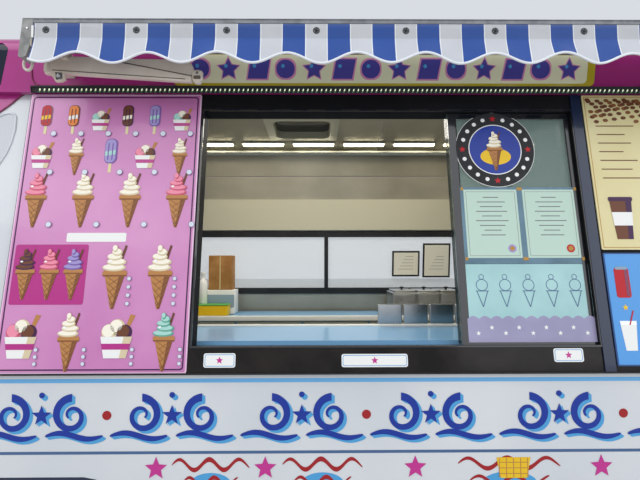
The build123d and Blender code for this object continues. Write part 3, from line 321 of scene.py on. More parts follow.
F_WALL = axes(0, -BODY_HW, WAIST, (1, 0, 0), (0, SL, CL), (0, -CL, SL))
F_OFF = axes(0, BODY_HW, WAIST, (-1, 0, 0), (0, -SL, CL), (0, CL, SL))
F_LOW = axes(0, -BODY_HW, 0, (1, 0, 0), (0, 0, 1), (0, -1, 0))
F_LOWR = axes(0, BODY_HW, 0, (-1, 0, 0), (0, 0, 1), (0, 1, 0))
fa = math.atan2(-0.0395, 0.210)
F_FAS = axes(0, -0.905, 2.215, (1, 0, 0), (0, math.sin(fa), math.cos(fa)), (0, -math.cos(fa), math.sin(fa)))
F_FASR = axes(0, 0.905, 2.215, (-1, 0, 0), (0, -math.sin(fa), math.cos(fa)), (0, math.cos(fa), math.sin(fa)))
F_REAR = axes(BX1, 0, 0, (0, 1, 0), (0, 0, 1), (1, 0, 0))
F_XY = Matrix.Identity(4)


# ------------------------------------------------------------------ mesh batches
def rect(x0, x1, y0, y1):
    return [(x0, y0), (x1, y0), (x1, y1), (x0, y1)]


def rrect(x0, x1, y0, y1, r, n=5):
    pts = []
    for cx, cy, a0 in ((x1 - r, y0 + r, -90), (x1 - r, y1 - r, 0), (x0 + r, y1 - r, 90), (x0 + r, y0 + r, 180)):
        for i in range(n + 1):
            a = math.radians(a0 + 90 * i / n)
            pts.append((cx + r * math.cos(a), cy + r * math.sin(a)))
    return pts


def circle(cx, cy, r, n=32, ry=None):
    ry = ry or r
    return [(cx + r * math.cos(2 * math.pi * i / n), cy + ry * math.sin(2 * math.pi * i / n)) for i in range(n)]


def star(cx, cy, r, k=5, q=0.45, rot=90):
    return [(cx + (r if i % 2 == 0 else r * q) * math.cos(math.radians(rot + 180 * i / k)),
             cy + (r if i % 2 == 0 else r * q) * math.sin(math.radians(rot + 180 * i / k))) for i in range(2 * k)]


def grow2(pts, g):
    area = sum(pts[i - 1][0] * pts[i][1] - pts[i][0] * pts[i - 1][1] for i in range(len(pts)))
    s = 1 if area > 0 else -1
    out = []
    n = len(pts)
    for i in range(n):
        a, b, c = pts[i - 1], pts[i], pts[(i + 1) % n]
        d1, d2 = (b[0] - a[0], b[1] - a[1]), (c[0] - b[0], c[1] - b[1])
        l1, l2 = math.hypot(*d1) or 1e-9, math.hypot(*d2) or 1e-9
        n1, n2 = (s * d1[1] / l1, -s * d1[0] / l1), (s * d2[1] / l2, -s * d2[0] / l2)
        k = max(0.3, 1 + n1[0] * n2[0] + n1[1] * n2[1])
        out.append((b[0] + g * (n1[0] + n2[0]) / k, b[1] + g * (n1[1] + n2[1]) / k))
    return out


class Batch:
    """many small closed shapes joined into one mesh that rides on one body"""

    def __init__(self, name, body="van", slot=None):
        self.name, self.body, self.slot = name, body, slot
        self.v, self.f, self.m, self.smooth, self.mats = [], [], [], [], []

    def mi(self, key):
        if key not in self.mats:
            self.mats.append(key)
        return self.mats.index(key)

    def raw(self, verts, faces, key, smooth=False):
        o = len(self.v)
        self.v += [tuple(p) for p in verts]
        k = self.mi(key)
        for f in faces:
            self.f.append([i + o for i in f])
            self.m.append(k)
            self.smooth.append(smooth)

    def prism(self, F, pts, h0, h1, key, holes=(), smooth=False):
        """outline (with holes) in frame F, between heights h0 and h1"""
        loops = [list(pts)] + [list(h) for h in holes]
        area = sum(loops[0][i - 1][0] * loops[0][i][1] - loops[0][i][0] * loops[0][i - 1][1]
                   for i in range(len(loops[0])))
        if area < 0:
            loops[0].reverse()
        for h in loops[1:]:
            a = sum(h[i - 1][0] * h[i][1] - h[i][0] * h[i - 1][1] for i in range(len(h)))
            if a > 0:
                h.reverse()
        flat = [p for lp in loops for p in lp]
        tris = tessellate_polygon([[Vector((p[0], p[1], 0)) for p in lp] for lp in loops])
        n = len(flat)
        top = [F @ Vector((p[0], p[1], h1)) for p in flat]
        bot = [F @ Vector((p[0], p[1], h0)) for p in flat]
        faces = []
        for t in tris:
            a, b, c = t
            ar = (flat[b][0] - flat[a][0]) * (flat[c][1] - flat[a][1]) - \
                 (flat[c][0] - flat[a][0]) * (flat[b][1] - flat[a][1])
            if abs(ar) < 1e-14:
                continue
            if ar < 0:
                a, c = c, a
            faces.append((a, b, c))
            faces.append((n + c, n + b, n + a))
        o = 0
        for lp in loops:
            k = len(lp)
            for i in range(k):
                j = (i + 1) % k
                faces.append((o + j, o + i, n + o + i, n + o + j))
            o += k
        if F.to_3x3().determinant() < 0:
            faces = [tuple(reversed(f)) for f in faces]
        self.raw(top + bot, faces, key, smooth)

    def box(self, x0, x1, y0, y1, z0, z1, key, F=F_XY):
        self.prism(F, rect(x0, x1, y0, y1), z0, z1, key)

    def rbox(self, x0, x1, y0, y1, z0, z1, key, r=0.01, F=F_XY, c=0.003):
        """box with rounded corners in plan and a chamfered top and bottom"""
        pts = rrect(x0, x1, y0, y1, r)
        rings = [(grow2(pts, -c), z0), (pts, z0 + c), (pts, z1 - c), (grow2(pts, -c), z1)]
        self.rings(F, rings, key)

    def rings(self, F, rings, key, smooth=True, cap=True):
        n = len(rings[0][0])
        verts = [F @ Vector((p[0], p[1], h)) for pts, h in rings for p in pts]
        faces = []
        for k in range(len(rings) - 1):
            for i in range(n):
                j = (i + 1) % n
                faces.append((k * n + i, k * n + j, (k + 1) * n + j, (k + 1) * n + i))
        if cap:
            faces.append(tuple(reversed(range(n))))
            faces.append(tuple((len(rings) - 1) * n + i for i in range(n)))
        self.raw(verts, faces, key, smooth)

    def lathe(self, F, prof, key, n=32, smooth=True, closed=False):
        """profile of (radius, height) turned about the frame's third axis"""
        rows = []
        verts = []
        for r, h in prof:
            if r < 1e-6:
                rows.append([len(verts)])
                verts.append(F @ Vector((0, 0, h)))
            else:
                rows.append(list(range(len(verts), len(verts) + n)))
                verts += [F @ Vector((r * math.cos(2 * math.pi * i / n), r * math.sin(2 * math.pi * i / n), h))
                          for i in range(n)]
        faces = []
        pairs = list(zip(rows, rows[1:])) + ([(rows[-1], rows[0])] if closed else [])
        for a, b in pairs:
            for i in range(n):
                j = (i + 1) % n
                if len(a) == 1 and len(b) == 1:
                    continue
                if len(a) == 1:
                    faces.append((a[0], b[j], b[i]))
                elif len(b) == 1:
                    faces.append((a[i], a[j], b[0]))
                else:
                    faces.append((a[i], a[j], b[j], b[i]))
        if not closed:
            if len(rows[0]) > 1:
                faces.append(tuple(reversed(rows[0])))
            if len(rows[-1]) > 1:
                faces.append(tuple(rows[-1]))
        self.raw(verts, faces, key, smooth)

    def tube(self, path, r, key, n=10, closed=False, flat=1.0):
        """round bar along a list of points"""
        P = [Vector(p) for p in path]
        verts, up = [], None
        m = len(P)
        for i, p in enumerate(P):
            a = P[i - 1] if (i > 0 or closed) else P[i]
            b = P[(i + 1) % m] if (i < m - 1 or closed) else P[i]
            t = (b - a).normalized()
            if up is None:
                up = Vector((0, 0, 1)) if abs(t.z) < 0.9 else Vector((1, 0, 0))
            side = t.cross(up).normalized()
            up = side.cross(t).normalized()
            for k in range(n):
                a2 = 2 * math.pi * k / n
                verts.append(p + side * (r * math.cos(a2)) + up * (r * flat * math.sin(a2)))
        faces = []
        for i in range(m if closed else m - 1):
            i2 = (i + 1) % m
            for k in range(n):
                k2 = (k + 1) % n
                faces.append((i * n + k, i2 * n + k, i2 * n + k2, i * n + k2))
        if not closed:
            faces.append(tuple(range(n)))
            faces.append(tuple(reversed(range((m - 1) * n, m * n))))
        self.raw(verts, faces, key, True)

    def ball(self, c, r, key, n=14, sx=1, sy=1, sz=1):
        F = Matrix.Translation(Vector(c)) @ Matrix.Diagonal((sx, sy, sz, 1))
        self.lathe(F, [(r * math.sin(math.pi * i / 8), -r * math.cos(math.pi * i / 8)) for i in range(9)], key, n)

    def done(self, bevel=0.0, seg=2, angle=35):
        me = bpy.data.meshes.new(self.name)
        me.from_pydata(self.v, [], self.f)
        for k in self.mats:
            me.materials.append(M[k])
        me.polygons.foreach_set("material_index", self.m)
        me.polygons.foreach_set("use_smooth", self.smooth)
        me.validate(clean_customdata=False)
        me.update()
        ob = bpy.data.objects.new(self.name, me)
        bpy.context.scene.collection.objects.link(ob)
        if bevel:
            md = ob.modifiers.new("bevel", "BEVEL")
            md.width, md.segments, md.limit_method = bevel, seg, "ANGLE"
            md.angle_limit = math.radians(angle)
            md.harden_normals = False
        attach(ob, self.body)
        return ob


def smooth_by_angle(ob, deg=30):
    """soft shading on curved faces, hard edges kept, vertices untouched"""
    me = ob.data
    me.polygons.foreach_set("use_smooth", [True] * len(me.polygons))
    if hasattr(me, "set_sharp_from_angle"):
        me.set_sharp_from_angle(angle=math.radians(deg))


# ------------------------------------------------------------------ CAD nodes: finishes
NODE_MAT = {
    "chassis_frame": "chassis", "engine_block": "iron", "knuckle_left": "iron", "knuckle_right": "iron",
    "rear_axle": "iron", "underfloor_tanks": "plastic_dark", "cab_shell": "white", "bonnet": "white",
    "bumpers": "plastic_dark", "windscreen": "glass_cab", "cab_door_left": "white",
    "cab_door_right": "white", "door_glass_left": "glass_cab", "door_glass_right": "glass_cab",
    "mirror_left": "black_matt", "mirror_right": "black_matt", "dashboard": "dash", "cab_seats": "seat_side",
    "body_floor": "floor_grey", "lower_sides": "white", "serving_wall": "white", "offside_wall": "white",
    "rear_panel": "white", "rear_door": "white", "roof_shell": "magenta", "fixed_windows": "glass",
    "hatch_frame": "black_satin", "hatch_pane_outer": "glass_pane", "hatch_pane_inner": "glass_pane",
    "counters": "counter", "roof_vent": "inside_cream", "awning_arms": "alu_warm", "awning_bar": "alu",
    "rim_front_left": "rim", "rim_front_right": "rim", "rim_rear_left": "rim", "rim_rear_right": "rim",
    "lamps": "lens", "steering_wheel": "black_matt", "awning_valance": "white", "roof_cones": "waffle",
    "tyre_front_left": "tyre", "tyre_front_right": "tyre", "tyre_rear_left": "tyre", "tyre_rear_right": "tyre",
}
def body_glazing(name):
    """clear glass; green tint on the serving side, navy tint on the panes ahead of the hatch and above the side wall"""
    m = pr(name, (0.86, 0.92, 0.92), 0.10, alpha=0.22, spec=0.5)
    nt, b = nodes_of(m)
    tc = nt.nodes.new("ShaderNodeTexCoord")
    sx = nt.nodes.new("ShaderNodeSeparateXYZ")
    nt.links.new(tc.outputs["Object"], sx.inputs[0])

    def mth(op, a, v, v2=None):
        n = nt.nodes.new("ShaderNodeMath")
        n.operation = op
        nt.links.new(a, n.inputs[0])
        if hasattr(v, "is_linked"):
            nt.links.new(v, n.inputs[1])
        else:
            n.inputs[1].default_value = v
        if v2 is not None:
            n.inputs[2].default_value = v2
        return n.outputs[0]
    mask = mth("MULTIPLY", mth("LESS_THAN", sx.outputs["X"], -0.45), mth("GREATER_THAN", sx.outputs["Z"], 2.20))
    near = mth("LESS_THAN", sx.outputs["Y"], 0.0)
    tint = nt.nodes.new("ShaderNodeMix")
    tint.data_type = "RGBA"
    tint.inputs["A"].default_value = (0.86, 0.92, 0.92, 1)
    tint.inputs["B"].default_value = (*srgb("9AB2A8"), 1)
    nt.links.new(near, tint.inputs["Factor"])
    mx = nt.nodes.new("ShaderNodeMix")
    mx.data_type = "RGBA"
    mx.inputs["B"].default_value = (*srgb("0E1830"), 1)
    nt.links.new(tint.outputs["Result"], mx.inputs["A"])
    nt.links.new(mask, mx.inputs["Factor"])
    nt.links.new(mx.outputs["Result"], b.inputs["Base Color"])
    body = mth("MULTIPLY_ADD", near, 0.10, 0.22)
    nt.links.new(mth("MAXIMUM", body, mth("MULTIPLY", mask, 0.94)), b.inputs["Alpha"])
    return m


M["body_glazing"] = body_glazing("body_glazing")
NODE_MAT["fixed_windows"] = "body_glazing"
for name, ob in N.items():
    ob.data.materials.clear()
    ob.data.materials.append(M[NODE_MAT[name]])
    smooth_by_angle(ob, 28)


# ------------------------------------------------------------------ wheels
WHEEL_SET = [("front_left", AXF, -1), ("front_right", AXF, 1), ("rear_left", AXR, -1), ("rear_right", AXR, 1)]


def wheel_frame(x, s):
    """third axis points outboard"""
    return axes(x, s * WY, TR, (1, 0, 0), (0, 0, -s), (0, s, 0))


TREAD = [(-0.1115, 0.297), (-0.104, 0.322), (-0.092, 0.338), (-0.078, 0.3445), (-0.062, 0.3475), (-0.060, 0.3395),
         (-0.053, 0.3395), (-0.051, 0.3478), (-0.022, 0.348), (-0.020, 0.3395), (-0.013, 0.3395), (-0.011, 0.348),
         (0.011, 0.348), (0.013, 0.3395), (0.020, 0.3395), (0.022, 0.348), (0.051, 0.3478), (0.053, 0.3395),
         (0.060, 0.3395), (0.062, 0.3475), (0.078, 0.3445), (0.092, 0.338), (0.104, 0.322), (0.1115, 0.297)]
SIDE_OUT = [(0.1122, 0.275), (0.1118, 0.262), (0.1125, 0.258), (0.112, 0.240), (0.108, 0.222), (0.1025, 0.208),
            (0.1005, 0.200), (0.098, 0.1915)]
for name, x, s in WHEEL_SET:
    B = Batch("tyre_tread_" + name, "wheel_" + name, "tyre_" + name)
    F = wheel_frame(x, s)
    prof = [(-w, r) for w, r in reversed(SIDE_OUT)] + TREAD + SIDE_OUT
    NS = 216
    verts, faces = [], []
    P = len(prof)
    for i in range(NS):
        a = 2 * math.pi * i / NS
        for w, r in prof:
            rr = r
            k = i % 6
            if r > 0.344 and abs(w) > 0.06 and k == 0:
                rr = r - 0.006
            elif r > 0.345 and abs(w) <= 0.06 and (i + (2 if w > 0 else 0)) % 6 == 3:
                rr = r - 0.004
            elif 0.32 < r < 0.3446 and k == 0:
                rr = r - 0.004
            verts.append(F @ Vector((rr * math.cos(a), rr * math.sin(a), w)))
    for i in range(NS):
        j = (i + 1) % NS
        for k in range(P):
            k2 = (k + 1) % P
            faces.append((i * P + k, j * P + k, j * P + k2, i * P + k2))
    B.raw(verts, faces, "tyre", True)
    t = B.done()
    smooth_by_angle(t, 32)
    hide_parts("tyre_" + name)
    # nuts, cap and valve
    W = Batch("wheel_nuts_" + name, "wheel_" + name, "rim_" + name)
    FC = F
    face = 0.044
    for i in range(5):
        a = 2 * math.pi * i / 5 + 0.3
        FN = FC @ Matrix.Translation((0.066 * math.cos(a), 0.066 * math.sin(a), face - 0.001))
        W.lathe(FN, [(0.015, 0), (0.015, 0.004), (0.0115, 0.0045), (0.0115, 0.018), (0.009, 0.021), (0, 0.022)],
                "steel", 6, smooth=False)
    W.lathe(FC @ Matrix.Translation((0, 0, 0.030)),
            [(0.0335, 0), (0.0355, 0.012), (0.0355, 0.024), (0.030, 0.034), (0.018, 0.039), (0, 0.040)], "plastic_dark", 28)
    # trim ring near the rim edge
    W.lathe(FC, [(0.176, 0.094), (0.183, 0.0945), (0.1885, 0.0985), (0.1885, 0.1005), (0.182, 0.099), (0.176, 0.096)],
            "rim", 64, closed=True)
    a = 2.1
    W.tube([FC @ Vector((0.160 * math.cos(a), 0.160 * math.sin(a), 0.052)),
            FC @ Vector((0.150 * math.cos(a), 0.150 * math.sin(a), 0.074))], 0.004, "rubber", 8)
    W.done()

# ------------------------------------------------------------------ awning: valance cloth
VX0, VX1, VTOP, VFOLD = -0.2685, 2.611, 2.372, 2.3185
PITCH = 0.07805
MSTR = stripe_fabric("valance_stripes", -0.2651, PITCH, VFOLD, srgb("CDD0D6"), srgb("1C4C9E"), srgb("EDF0F4"))
M["valance"] = MSTR
WAVE = 0.2390
VY = -1.1181


def val_low(x):
    """lower edge of the valance: a soft wave"""
    return 2.2415 - 0.0180 * math.cos(2 * math.pi * (x - 0.010) / WAVE)


def val_y(x, t):
    """how far the hanging part stands from the bar; t is 0 at the fold and 1 at the hem"""
    ripple = 0.0050 * math.sin(2 * math.pi * x / 0.61 + 1.1) + 0.0030 * math.sin(2 * math.pi * x / 0.237)
    return VY - 0.0195 * t ** 1.15 + ripple * t * t * 0.8


nx, rowsz = 560, [0, .12, .25, .36, .40, .44, .52, .62, .72, .82, .9, .96, 1.0]
verts, faces = [], []
for side in (0, 1):
    for i in range(nx + 1):
        x = VX0 + (VX1 - VX0) * i / nx
        lo = val_low(x)
        for q in rowsz:
            z = VTOP + (lo - VTOP) * q
            tz = max(0.0, (VFOLD - z) / (VFOLD - lo))
            y = val_y(x, tz) if z < VFOLD else VY - 0.0006 * math.exp(-((z - VFOLD) / 0.004) ** 2)
            verts.append((x, y + (0.0012 if side else 0.0), z))
R = len(rowsz)
for side in (0, 1):
    o = side * (nx + 1) * R
    for i in range(nx):
        for k in range(R - 1):
            q = (o + i * R + k, o + i * R + k + 1, o + (i + 1) * R + k + 1, o + (i + 1) * R + k)
            faces.append(q if side == 0 else tuple(reversed(q)))
o = (nx + 1) * R
for i in range(nx):
    faces.append((i * R, (i + 1) * R, o + (i + 1) * R, o + i * R))
    faces.append((i * R + R - 1, o + i * R + R - 1, o + (i + 1) * R + R - 1, (i + 1) * R + R - 1))
for k in range(R - 1):
    faces.append((k, o + k, o + k + 1, k + 1))
    faces.append((nx * R + k, nx * R + k + 1, o + nx * R + k + 1, o + nx * R + k))
B = Batch("awning_valance_cloth", "van", "awning_valance")
B.raw(verts, faces, "valance", True)
valance = B.done()
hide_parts("awning_valance")

hem = Batch("awning_valance_piping", "van", "awning_valance")
path = []
for i in range(0, nx + 1, 2):
    x = VX0 + (VX1 - VX0) * i / nx
    path.append((x, val_y(x, 1.0) + 0.0006, val_low(x) + 0.001))
hem.tube(path, 0.0044, "piping", 8, flat=1.0)
hem.done()

# front bar trim, end caps, rosettes, winding eye
A = Batch("awning_fittings", "van", "awning_bar")
F_FRONT = axes(0, 0, 0, (1, 0, 0), (0, 0, 1), (0, -1, 0))
A.prism(F_FRONT, rect(-0.306, 2.624, 2.3735, 2.3862), 1.1148, 1.1186, "alu_strip")
A.prism(F_FRONT, rect(-0.306, 2.624, 2.3862, 2.3885), 1.1085, 1.1210, "alu_strip")
for xo, xi in ((-0.307, -0.2705), (2.6285, 2.6125)):
    # end cap: a plate that follows the hanging cloth, wider at the top, with a rounded lower end
    a, b = min(xo, xi), max(xo, xi)
    lowx = (a + 0.0005, b - 0.010) if xo < xi else (a + 0.004, b)
    vs = []
    for dy in (0.0, 0.052):
        vs += [(a, -1.1195 + dy, 2.3875), (b, -1.1195 + dy, 2.3875), (b, -1.1205 + dy, 2.3200), (lowx[1], -1.1360 + dy, 2.2480),
               (lowx[1] - 0.006, -1.1375 + dy, 2.2425), (lowx[0] + 0.004, -1.1375 + dy, 2.2425), (lowx[0], -1.1360 + dy, 2.2480), (a, -1.1205 + dy, 2.3200)]
    n = 8
    fs = [tuple(range(n)), tuple(reversed(range(n, 2 * n)))] + [(i, n + i, n + (i + 1) % n, (i + 1) % n) for i in range(n)]
    A.raw(vs, [tuple(reversed(f)) for f in fs], "cap_grey")
    for zc, rr in ((2.352, 0.0045), (2.300, 0.0045)):
        A.lathe(axes((a + b) / 2, -1.1192 - (2.32 - min(zc, 2.32)) * 0.22, zc, (1, 0, 0), (0, 0, 1), (0, -1, 0)), [(rr, 0), (rr, 0.003), (rr * 0.7, 0.0042), (0, 0.0043)], "steel", 14)
# worn white clip and cord eye beside the left end cap
A.rbox(-0.2745, -0.2665, 2.318, 2.362, 1.1185, 1.1240, "white_print", 0.003, F_FRONT)
A.rbox(-0.2760, -0.2690, 2.285, 2.312, 1.1215, 1.1270, "alu_warm", 0.003, F_FRONT)
for i in range(10):
    x = -0.2260 + i * 4 * PITCH
    if x > VX1:
        break
    FR = axes(x, VY, 2.3480, (1, 0, 0), (0, 0, 1), (0, -1, 0))
    A.lathe(FR, [(0.0120, 0), (0.0120, 0.0012), (0.0092, 0.0024), (0.0085, 0.0024), (0.0062, 0.0012), (0, 0.0012)], "rosette", 20)
    A.lathe(FR, [(0.0050, 0.0011), (0.0046, 0.0034), (0, 0.0038)], "black_matt", 12)
    for k in range(4):
        a = math.pi / 2 * k + 0.5
        A.prism(FR, [(0.0052 * math.cos(a - 0.25), 0.0052 * math.sin(a - 0.25)), (0.0090 * math.cos(a - 0.16), 0.0090 * math.sin(a - 0.16)),
                     (0.0090 * math.cos(a + 0.16), 0.0090 * math.sin(a + 0.16)), (0.0052 * math.cos(a + 0.25), 0.0052 * math.sin(a + 0.25))], 0.0012, 0.0026, "alu_dark")
ring = [(-0.2955 + 0.0150 * math.cos(2 * math.pi * i / 28), -1.1000, 2.2340 + 0.0215 * math.sin(2 * math.pi * i / 28)) for i in range(28)]
A.tube(ring, 0.0050, "cream_eye", 10, closed=True)
A.tube([(-0.2935, -1.1000, 2.2540), (-0.2915, -1.0980, 2.2700), (-0.2905, -1.0940, 2.3150)], 0.0062, "cream_eye", 10)
A.done(bevel=0.0012)

# folding arms: flat tapered halves, elbow casting, bracket to the fascia, tab with its bolt, link to the bar
A = Batch("awning_arm_castings", "van", "awning_arms")
for x, d in ((-0.265, 1), (2.590, -1)):
    def U(pts):
        return [(x + d * u, z) for u, z in pts]
    low_half = [(-0.012, 2.236), (-0.011, 2.262), (0.004, 2.282), (0.030, 2.2900), (0.150, 2.2880), (0.178, 2.2840), (0.522, 2.2160), (0.522, 2.1960),
                (0.470, 2.1990), (0.010, 2.2290)]
    A.prism(F_FRONT, U(low_half), 1.028, 1.046, "arm")
    # dark band near the lower edge of the arm half: painted shade
    A.prism(F_FRONT, U([(0.020, 2.2368), (0.020, 2.2402), (0.500, 2.2076), (0.500, 2.2046)]), 1.046, 1.0475, "arm_painted_shade")
    high_half = [(0.172, 2.2865), (0.430, 2.2820), (0.520, 2.2660), (0.530, 2.2400), (0.530, 2.2165), (0.522, 2.2165)]
    A.prism(F_FRONT, U(high_half), 1.020, 1.040, "arm")
    # dark line across the upper half: painted shade
    A.tube([Vector((x + d * 0.185, -1.0405, 2.2868)), Vector((x + d * 0.524, -1.0405, 2.2205))], 0.0016, "arm_painted_shade", 6)
    # elbow casting: short pin with a flat cover plate; the darker inset on the plate is painted shade
    xe = x + d * 0.543
    A.lathe(axes(xe, -1.033, 2.193, (1, 0, 0), (0, 1, 0), (0, 0, 1)), [(0.008, 0), (0.0125, 0.002), (0.0130, 0.005), (0.0130, 0.046), (0.011, 0.049), (0, 0.050)], "arm", 24)
    a, b = sorted((x + d * 0.524, x + d * 0.562))
    A.rbox(a, b, 2.2000, 2.2390, 1.030, 1.0475, "arm", 0.008, F_FRONT)
    A.rbox(a + 0.006, b - 0.006, 2.2055, 2.2180, 1.0475, 1.0492, "arm_painted_shade", 0.004, F_FRONT)
    A.lathe(axes((a + b) / 2, -1.0475, 2.2290, (1, 0, 0), (0, 0, 1), (0, -1, 0)), [(0.0048, 0), (0.0048, 0.002), (0.003, 0.003), (0, 0.003)], "alu_dark", 14)
    # shoulder: knuckle, bracket back to the fascia, cover and bolts
    A.lathe(axes(x + d * 0.002, -1.034, 2.226, (1, 0, 0), (0, 1, 0), (0, 0, 1)), [(0.010, 0), (0.014, 0.003), (0.0148, 0.008), (0.0148, 0.052), (0.012, 0.058), (0, 0.059)], "arm", 28)
    a, b = sorted((x - d * 0.010, x + d * 0.030))
    A.prism(axes(0, 0, 0, (0, 1, 0), (0, 0, 1), (1, 0, 0)), [(-1.024, 2.276), (-0.9170, 2.2640), (-0.9320, 2.346), (-1.050, 2.349), (-1.050, 2.296), (-1.024, 2.292)], a, b, "arm")
        # tab that hangs below the shoulder, with a plate and hexagon bolt
    A.prism(F_FRONT, U([(0.010, 2.2400), (0.030, 2.2420), (0.064, 2.2350), (0.067, 2.2040), (0.056, 2.1960), (0.034, 2.1950), (0.026, 2.2080), (0.016, 2.2220)]), 1.036, 1.047, "arm")
    A.prism(F_FRONT, U([(0.032, 2.2300), (0.056, 2.2280), (0.059, 2.2050), (0.036, 2.2020)]), 1.047, 1.0485, "alu_dark")
    A.lathe(axes(x + d * 0.0455, -1.0485, 2.2160, (1, 0, 0), (0, 0, 1), (0, -1, 0)), [(0.0082, 0), (0.0082, 0.004), (0.0068, 0.0055), (0, 0.0056)], "steel", 6, smooth=False)
    # link to the front bar
    a, b = sorted((x + d * 0.052, x + d * 0.078))
    A.rbox(a, b, 2.276, 2.340, 1.024, 1.058, "arm", 0.006, F_FRONT)
# roller tube with its end plugs
A.lathe(axes(-0.292, -1.015, 2.352, (0, 1, 0), (0, 0, 1), (1, 0, 0)), [(0.020, 0), (0.033, 0.001), (0.034, 0.004), (0.034, 2.905), (0.033, 2.908), (0.020, 2.909)], "alu", 40)
ob = A.done(bevel=0.0018)
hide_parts("awning_arms")

# ------------------------------------------------------------------ hatch surround: LED channel, boards, glass bay, stickers
A = Batch("led_channel", "van", "hatch_frame")
# black channel along the fascia lip and its dots
A.prism(F_FAS, rect(-0.408, 2.475, -0.0040, 0.0222), 0.0, 0.0060, "black_matt")
A.prism(F_FAS, rect(-0.408, 2.475, 0.0165, 0.0222), 0.0060, 0.0100, "black_matt")
A.prism(F_FAS, rect(-0.408, 2.475, -0.0046, -0.0032), 0.0060, 0.0085, "black_matt")
A.prism(F_FAS, rect(-0.4095, -0.4075, -0.0046, 0.0222), 0.0, 0.0100, "plastic_dark")
A.done(bevel=0.001)
L = Batch("led_dots", "van", "hatch_frame")
DOT = 0.01812
for i in range(int(2.84 / DOT)):
    x = -0.3745 + i * DOT
    k = 0.0020
    L.prism(F_FAS, [(x - 0.0030 + k, 0.0108), (x - 0.0032, 0.0040), (x + 0.0014, 0.0036), (x + 0.0036 , 0.0104), (x + 0.0020, 0.0120), (x - 0.0002, 0.0122)][::-1], 0.0059, 0.0078, "led")
    # greenish glow on the channel lip under each dot: painted reflection of the LED light
    L.prism(F_FAS, [(x - 0.0048, 0.0016), (x - 0.0060, -0.0020), (x + 0.0004, -0.0020), (x + 0.0016, 0.0014)], 0.0059, 0.0070, "led_painted_reflection")
L.done()


SHADE = {"ice": "ice_shade", "strawberry": "strawberry_shade", "mint": "mint_shade", "lilac": "lilac_shade", "white_print": "ice_shade",
         "red": "magenta_deep_print_and_painted_edge_shade", "yellow": "ochre", "orange": "brown", "green": "mint_shade", "brown": "purple_line"}


def cone_icon(B, F, cx, cy, h, flavour, k=0.0):
    """generic cone: crossed waffle, rim, swirled top with shaded layers, flake; flat prints"""
    w = h * 0.275
    B.prism(F, [(cx - w * 0.60, cy), (cx + w * 0.60, cy), (cx + w * 0.09, cy - h * 0.55), (cx - w * 0.09, cy - h * 0.55)], k, k + 0.0009, "waffle_print")
    B.prism(F, [(cx + w * 0.26, cy), (cx + w * 0.60, cy), (cx + w * 0.09, cy - h * 0.55), (cx + w * 0.01, cy - h * 0.55)], k + 0.0009, k + 0.0012, "waffle_dark")
    for i in range(5):
        t0, t1 = i / 5, min(1.0, i / 5 + 0.30)
        for m in (1, -1):
            xa, xb = -m * w * (0.60 - 0.51 * t0), m * w * (0.60 - 0.51 * t1) * (0.2 if i > 2 else 0.55)
            ya, yb = cy - h * 0.55 * t0, cy - h * 0.55 * t1
            B.prism(F, [(cx + xa, ya), (cx + xa + m * h * 0.010, ya), (cx + xb + m * h * 0.010, yb), (cx + xb, yb)][::m], k + 0.0012, k + 0.0014, "brown")
    B.prism(F, rrect(cx - w * 0.72, cx + w * 0.72, cy - h * 0.03, cy + h * 0.065, h * 0.03, 3), k + 0.0012, k + 0.0018, "waffle_print")
    B.prism(F, rrect(cx - w * 0.70, cx + w * 0.70, cy - h * 0.028, cy - h * 0.004, h * 0.01, 2), k + 0.0018, k + 0.0020, "waffle_dark")
    B.prism(F, [(cx + w * 0.22, cy + h * 0.20), (cx + w * 0.34, cy + h * 0.18), (cx + w * 0.62, cy + h * 0.47), (cx + w * 0.50, cy + h * 0.49)], k + 0.0012, k + 0.0016, "brown")
    for i, (dy, r) in enumerate(((0.115, 0.62), (0.205, 0.52), (0.290, 0.40), (0.365, 0.27), (0.425, 0.13))):
        kk = k + 0.0016 + i * 0.0005
        ox = (0.018 if i % 2 else -0.018) * h
        B.prism(F, circle(cx + ox, cy + dy * h, w * r * 1.12, 22, ry=h * 0.062), kk, kk + 0.0003, SHADE.get(flavour, "ice_shade"))
        B.prism(F, circle(cx + ox - w * 0.04, cy + dy * h + h * 0.012, w * r * 0.98, 22, ry=h * 0.046), kk + 0.0003, kk + 0.0005, flavour)
    B.prism(F, circle(cx - w * 0.30, cy + h * 0.225, w * 0.10, 12, ry=h * 0.018), k + 0.0043, k + 0.0045, "gloss_spot")


def lolly_icon(B, F, cx, cy, h, c1, c2, k=0.0):
    """generic ice on a stick in two colours with a shaded edge"""
    w = h * 0.30
    B.prism(F, rect(cx - w * 0.14, cx + w * 0.14, cy - h * 0.5, cy - h * 0.1), k, k + 0.0009, "board_cream")
    B.prism(F, rrect(cx - w * 0.58, cx + w * 0.58, cy - h * 0.24, cy + h * 0.5, w * 0.50, 6), k + 0.0009, k + 0.0014, SHADE.get(c1, "brown"))
    B.prism(F, rrect(cx - w * 0.54, cx + w * 0.44, cy - h * 0.21, cy + h * 0.48, w * 0.46, 6), k + 0.0014, k + 0.0019, c1)
    B.prism(F, [(cx - w * 0.53, cy - 0.02 * h), (cx + w * 0.43, cy + 0.03 * h), (cx + w * 0.43, cy + h * 0.16), (cx - w * 0.53, cy + h * 0.11)], k + 0.0019, k + 0.0023, c2)
    for dx in (-0.24, 0.14):
        B.prism(F, rrect(cx + w * dx - w * 0.05, cx + w * dx + w * 0.05, cy - h * 0.14, cy + h * 0.36, w * 0.05, 3), k + 0.0023, k + 0.0025, SHADE.get(c1, "brown"))


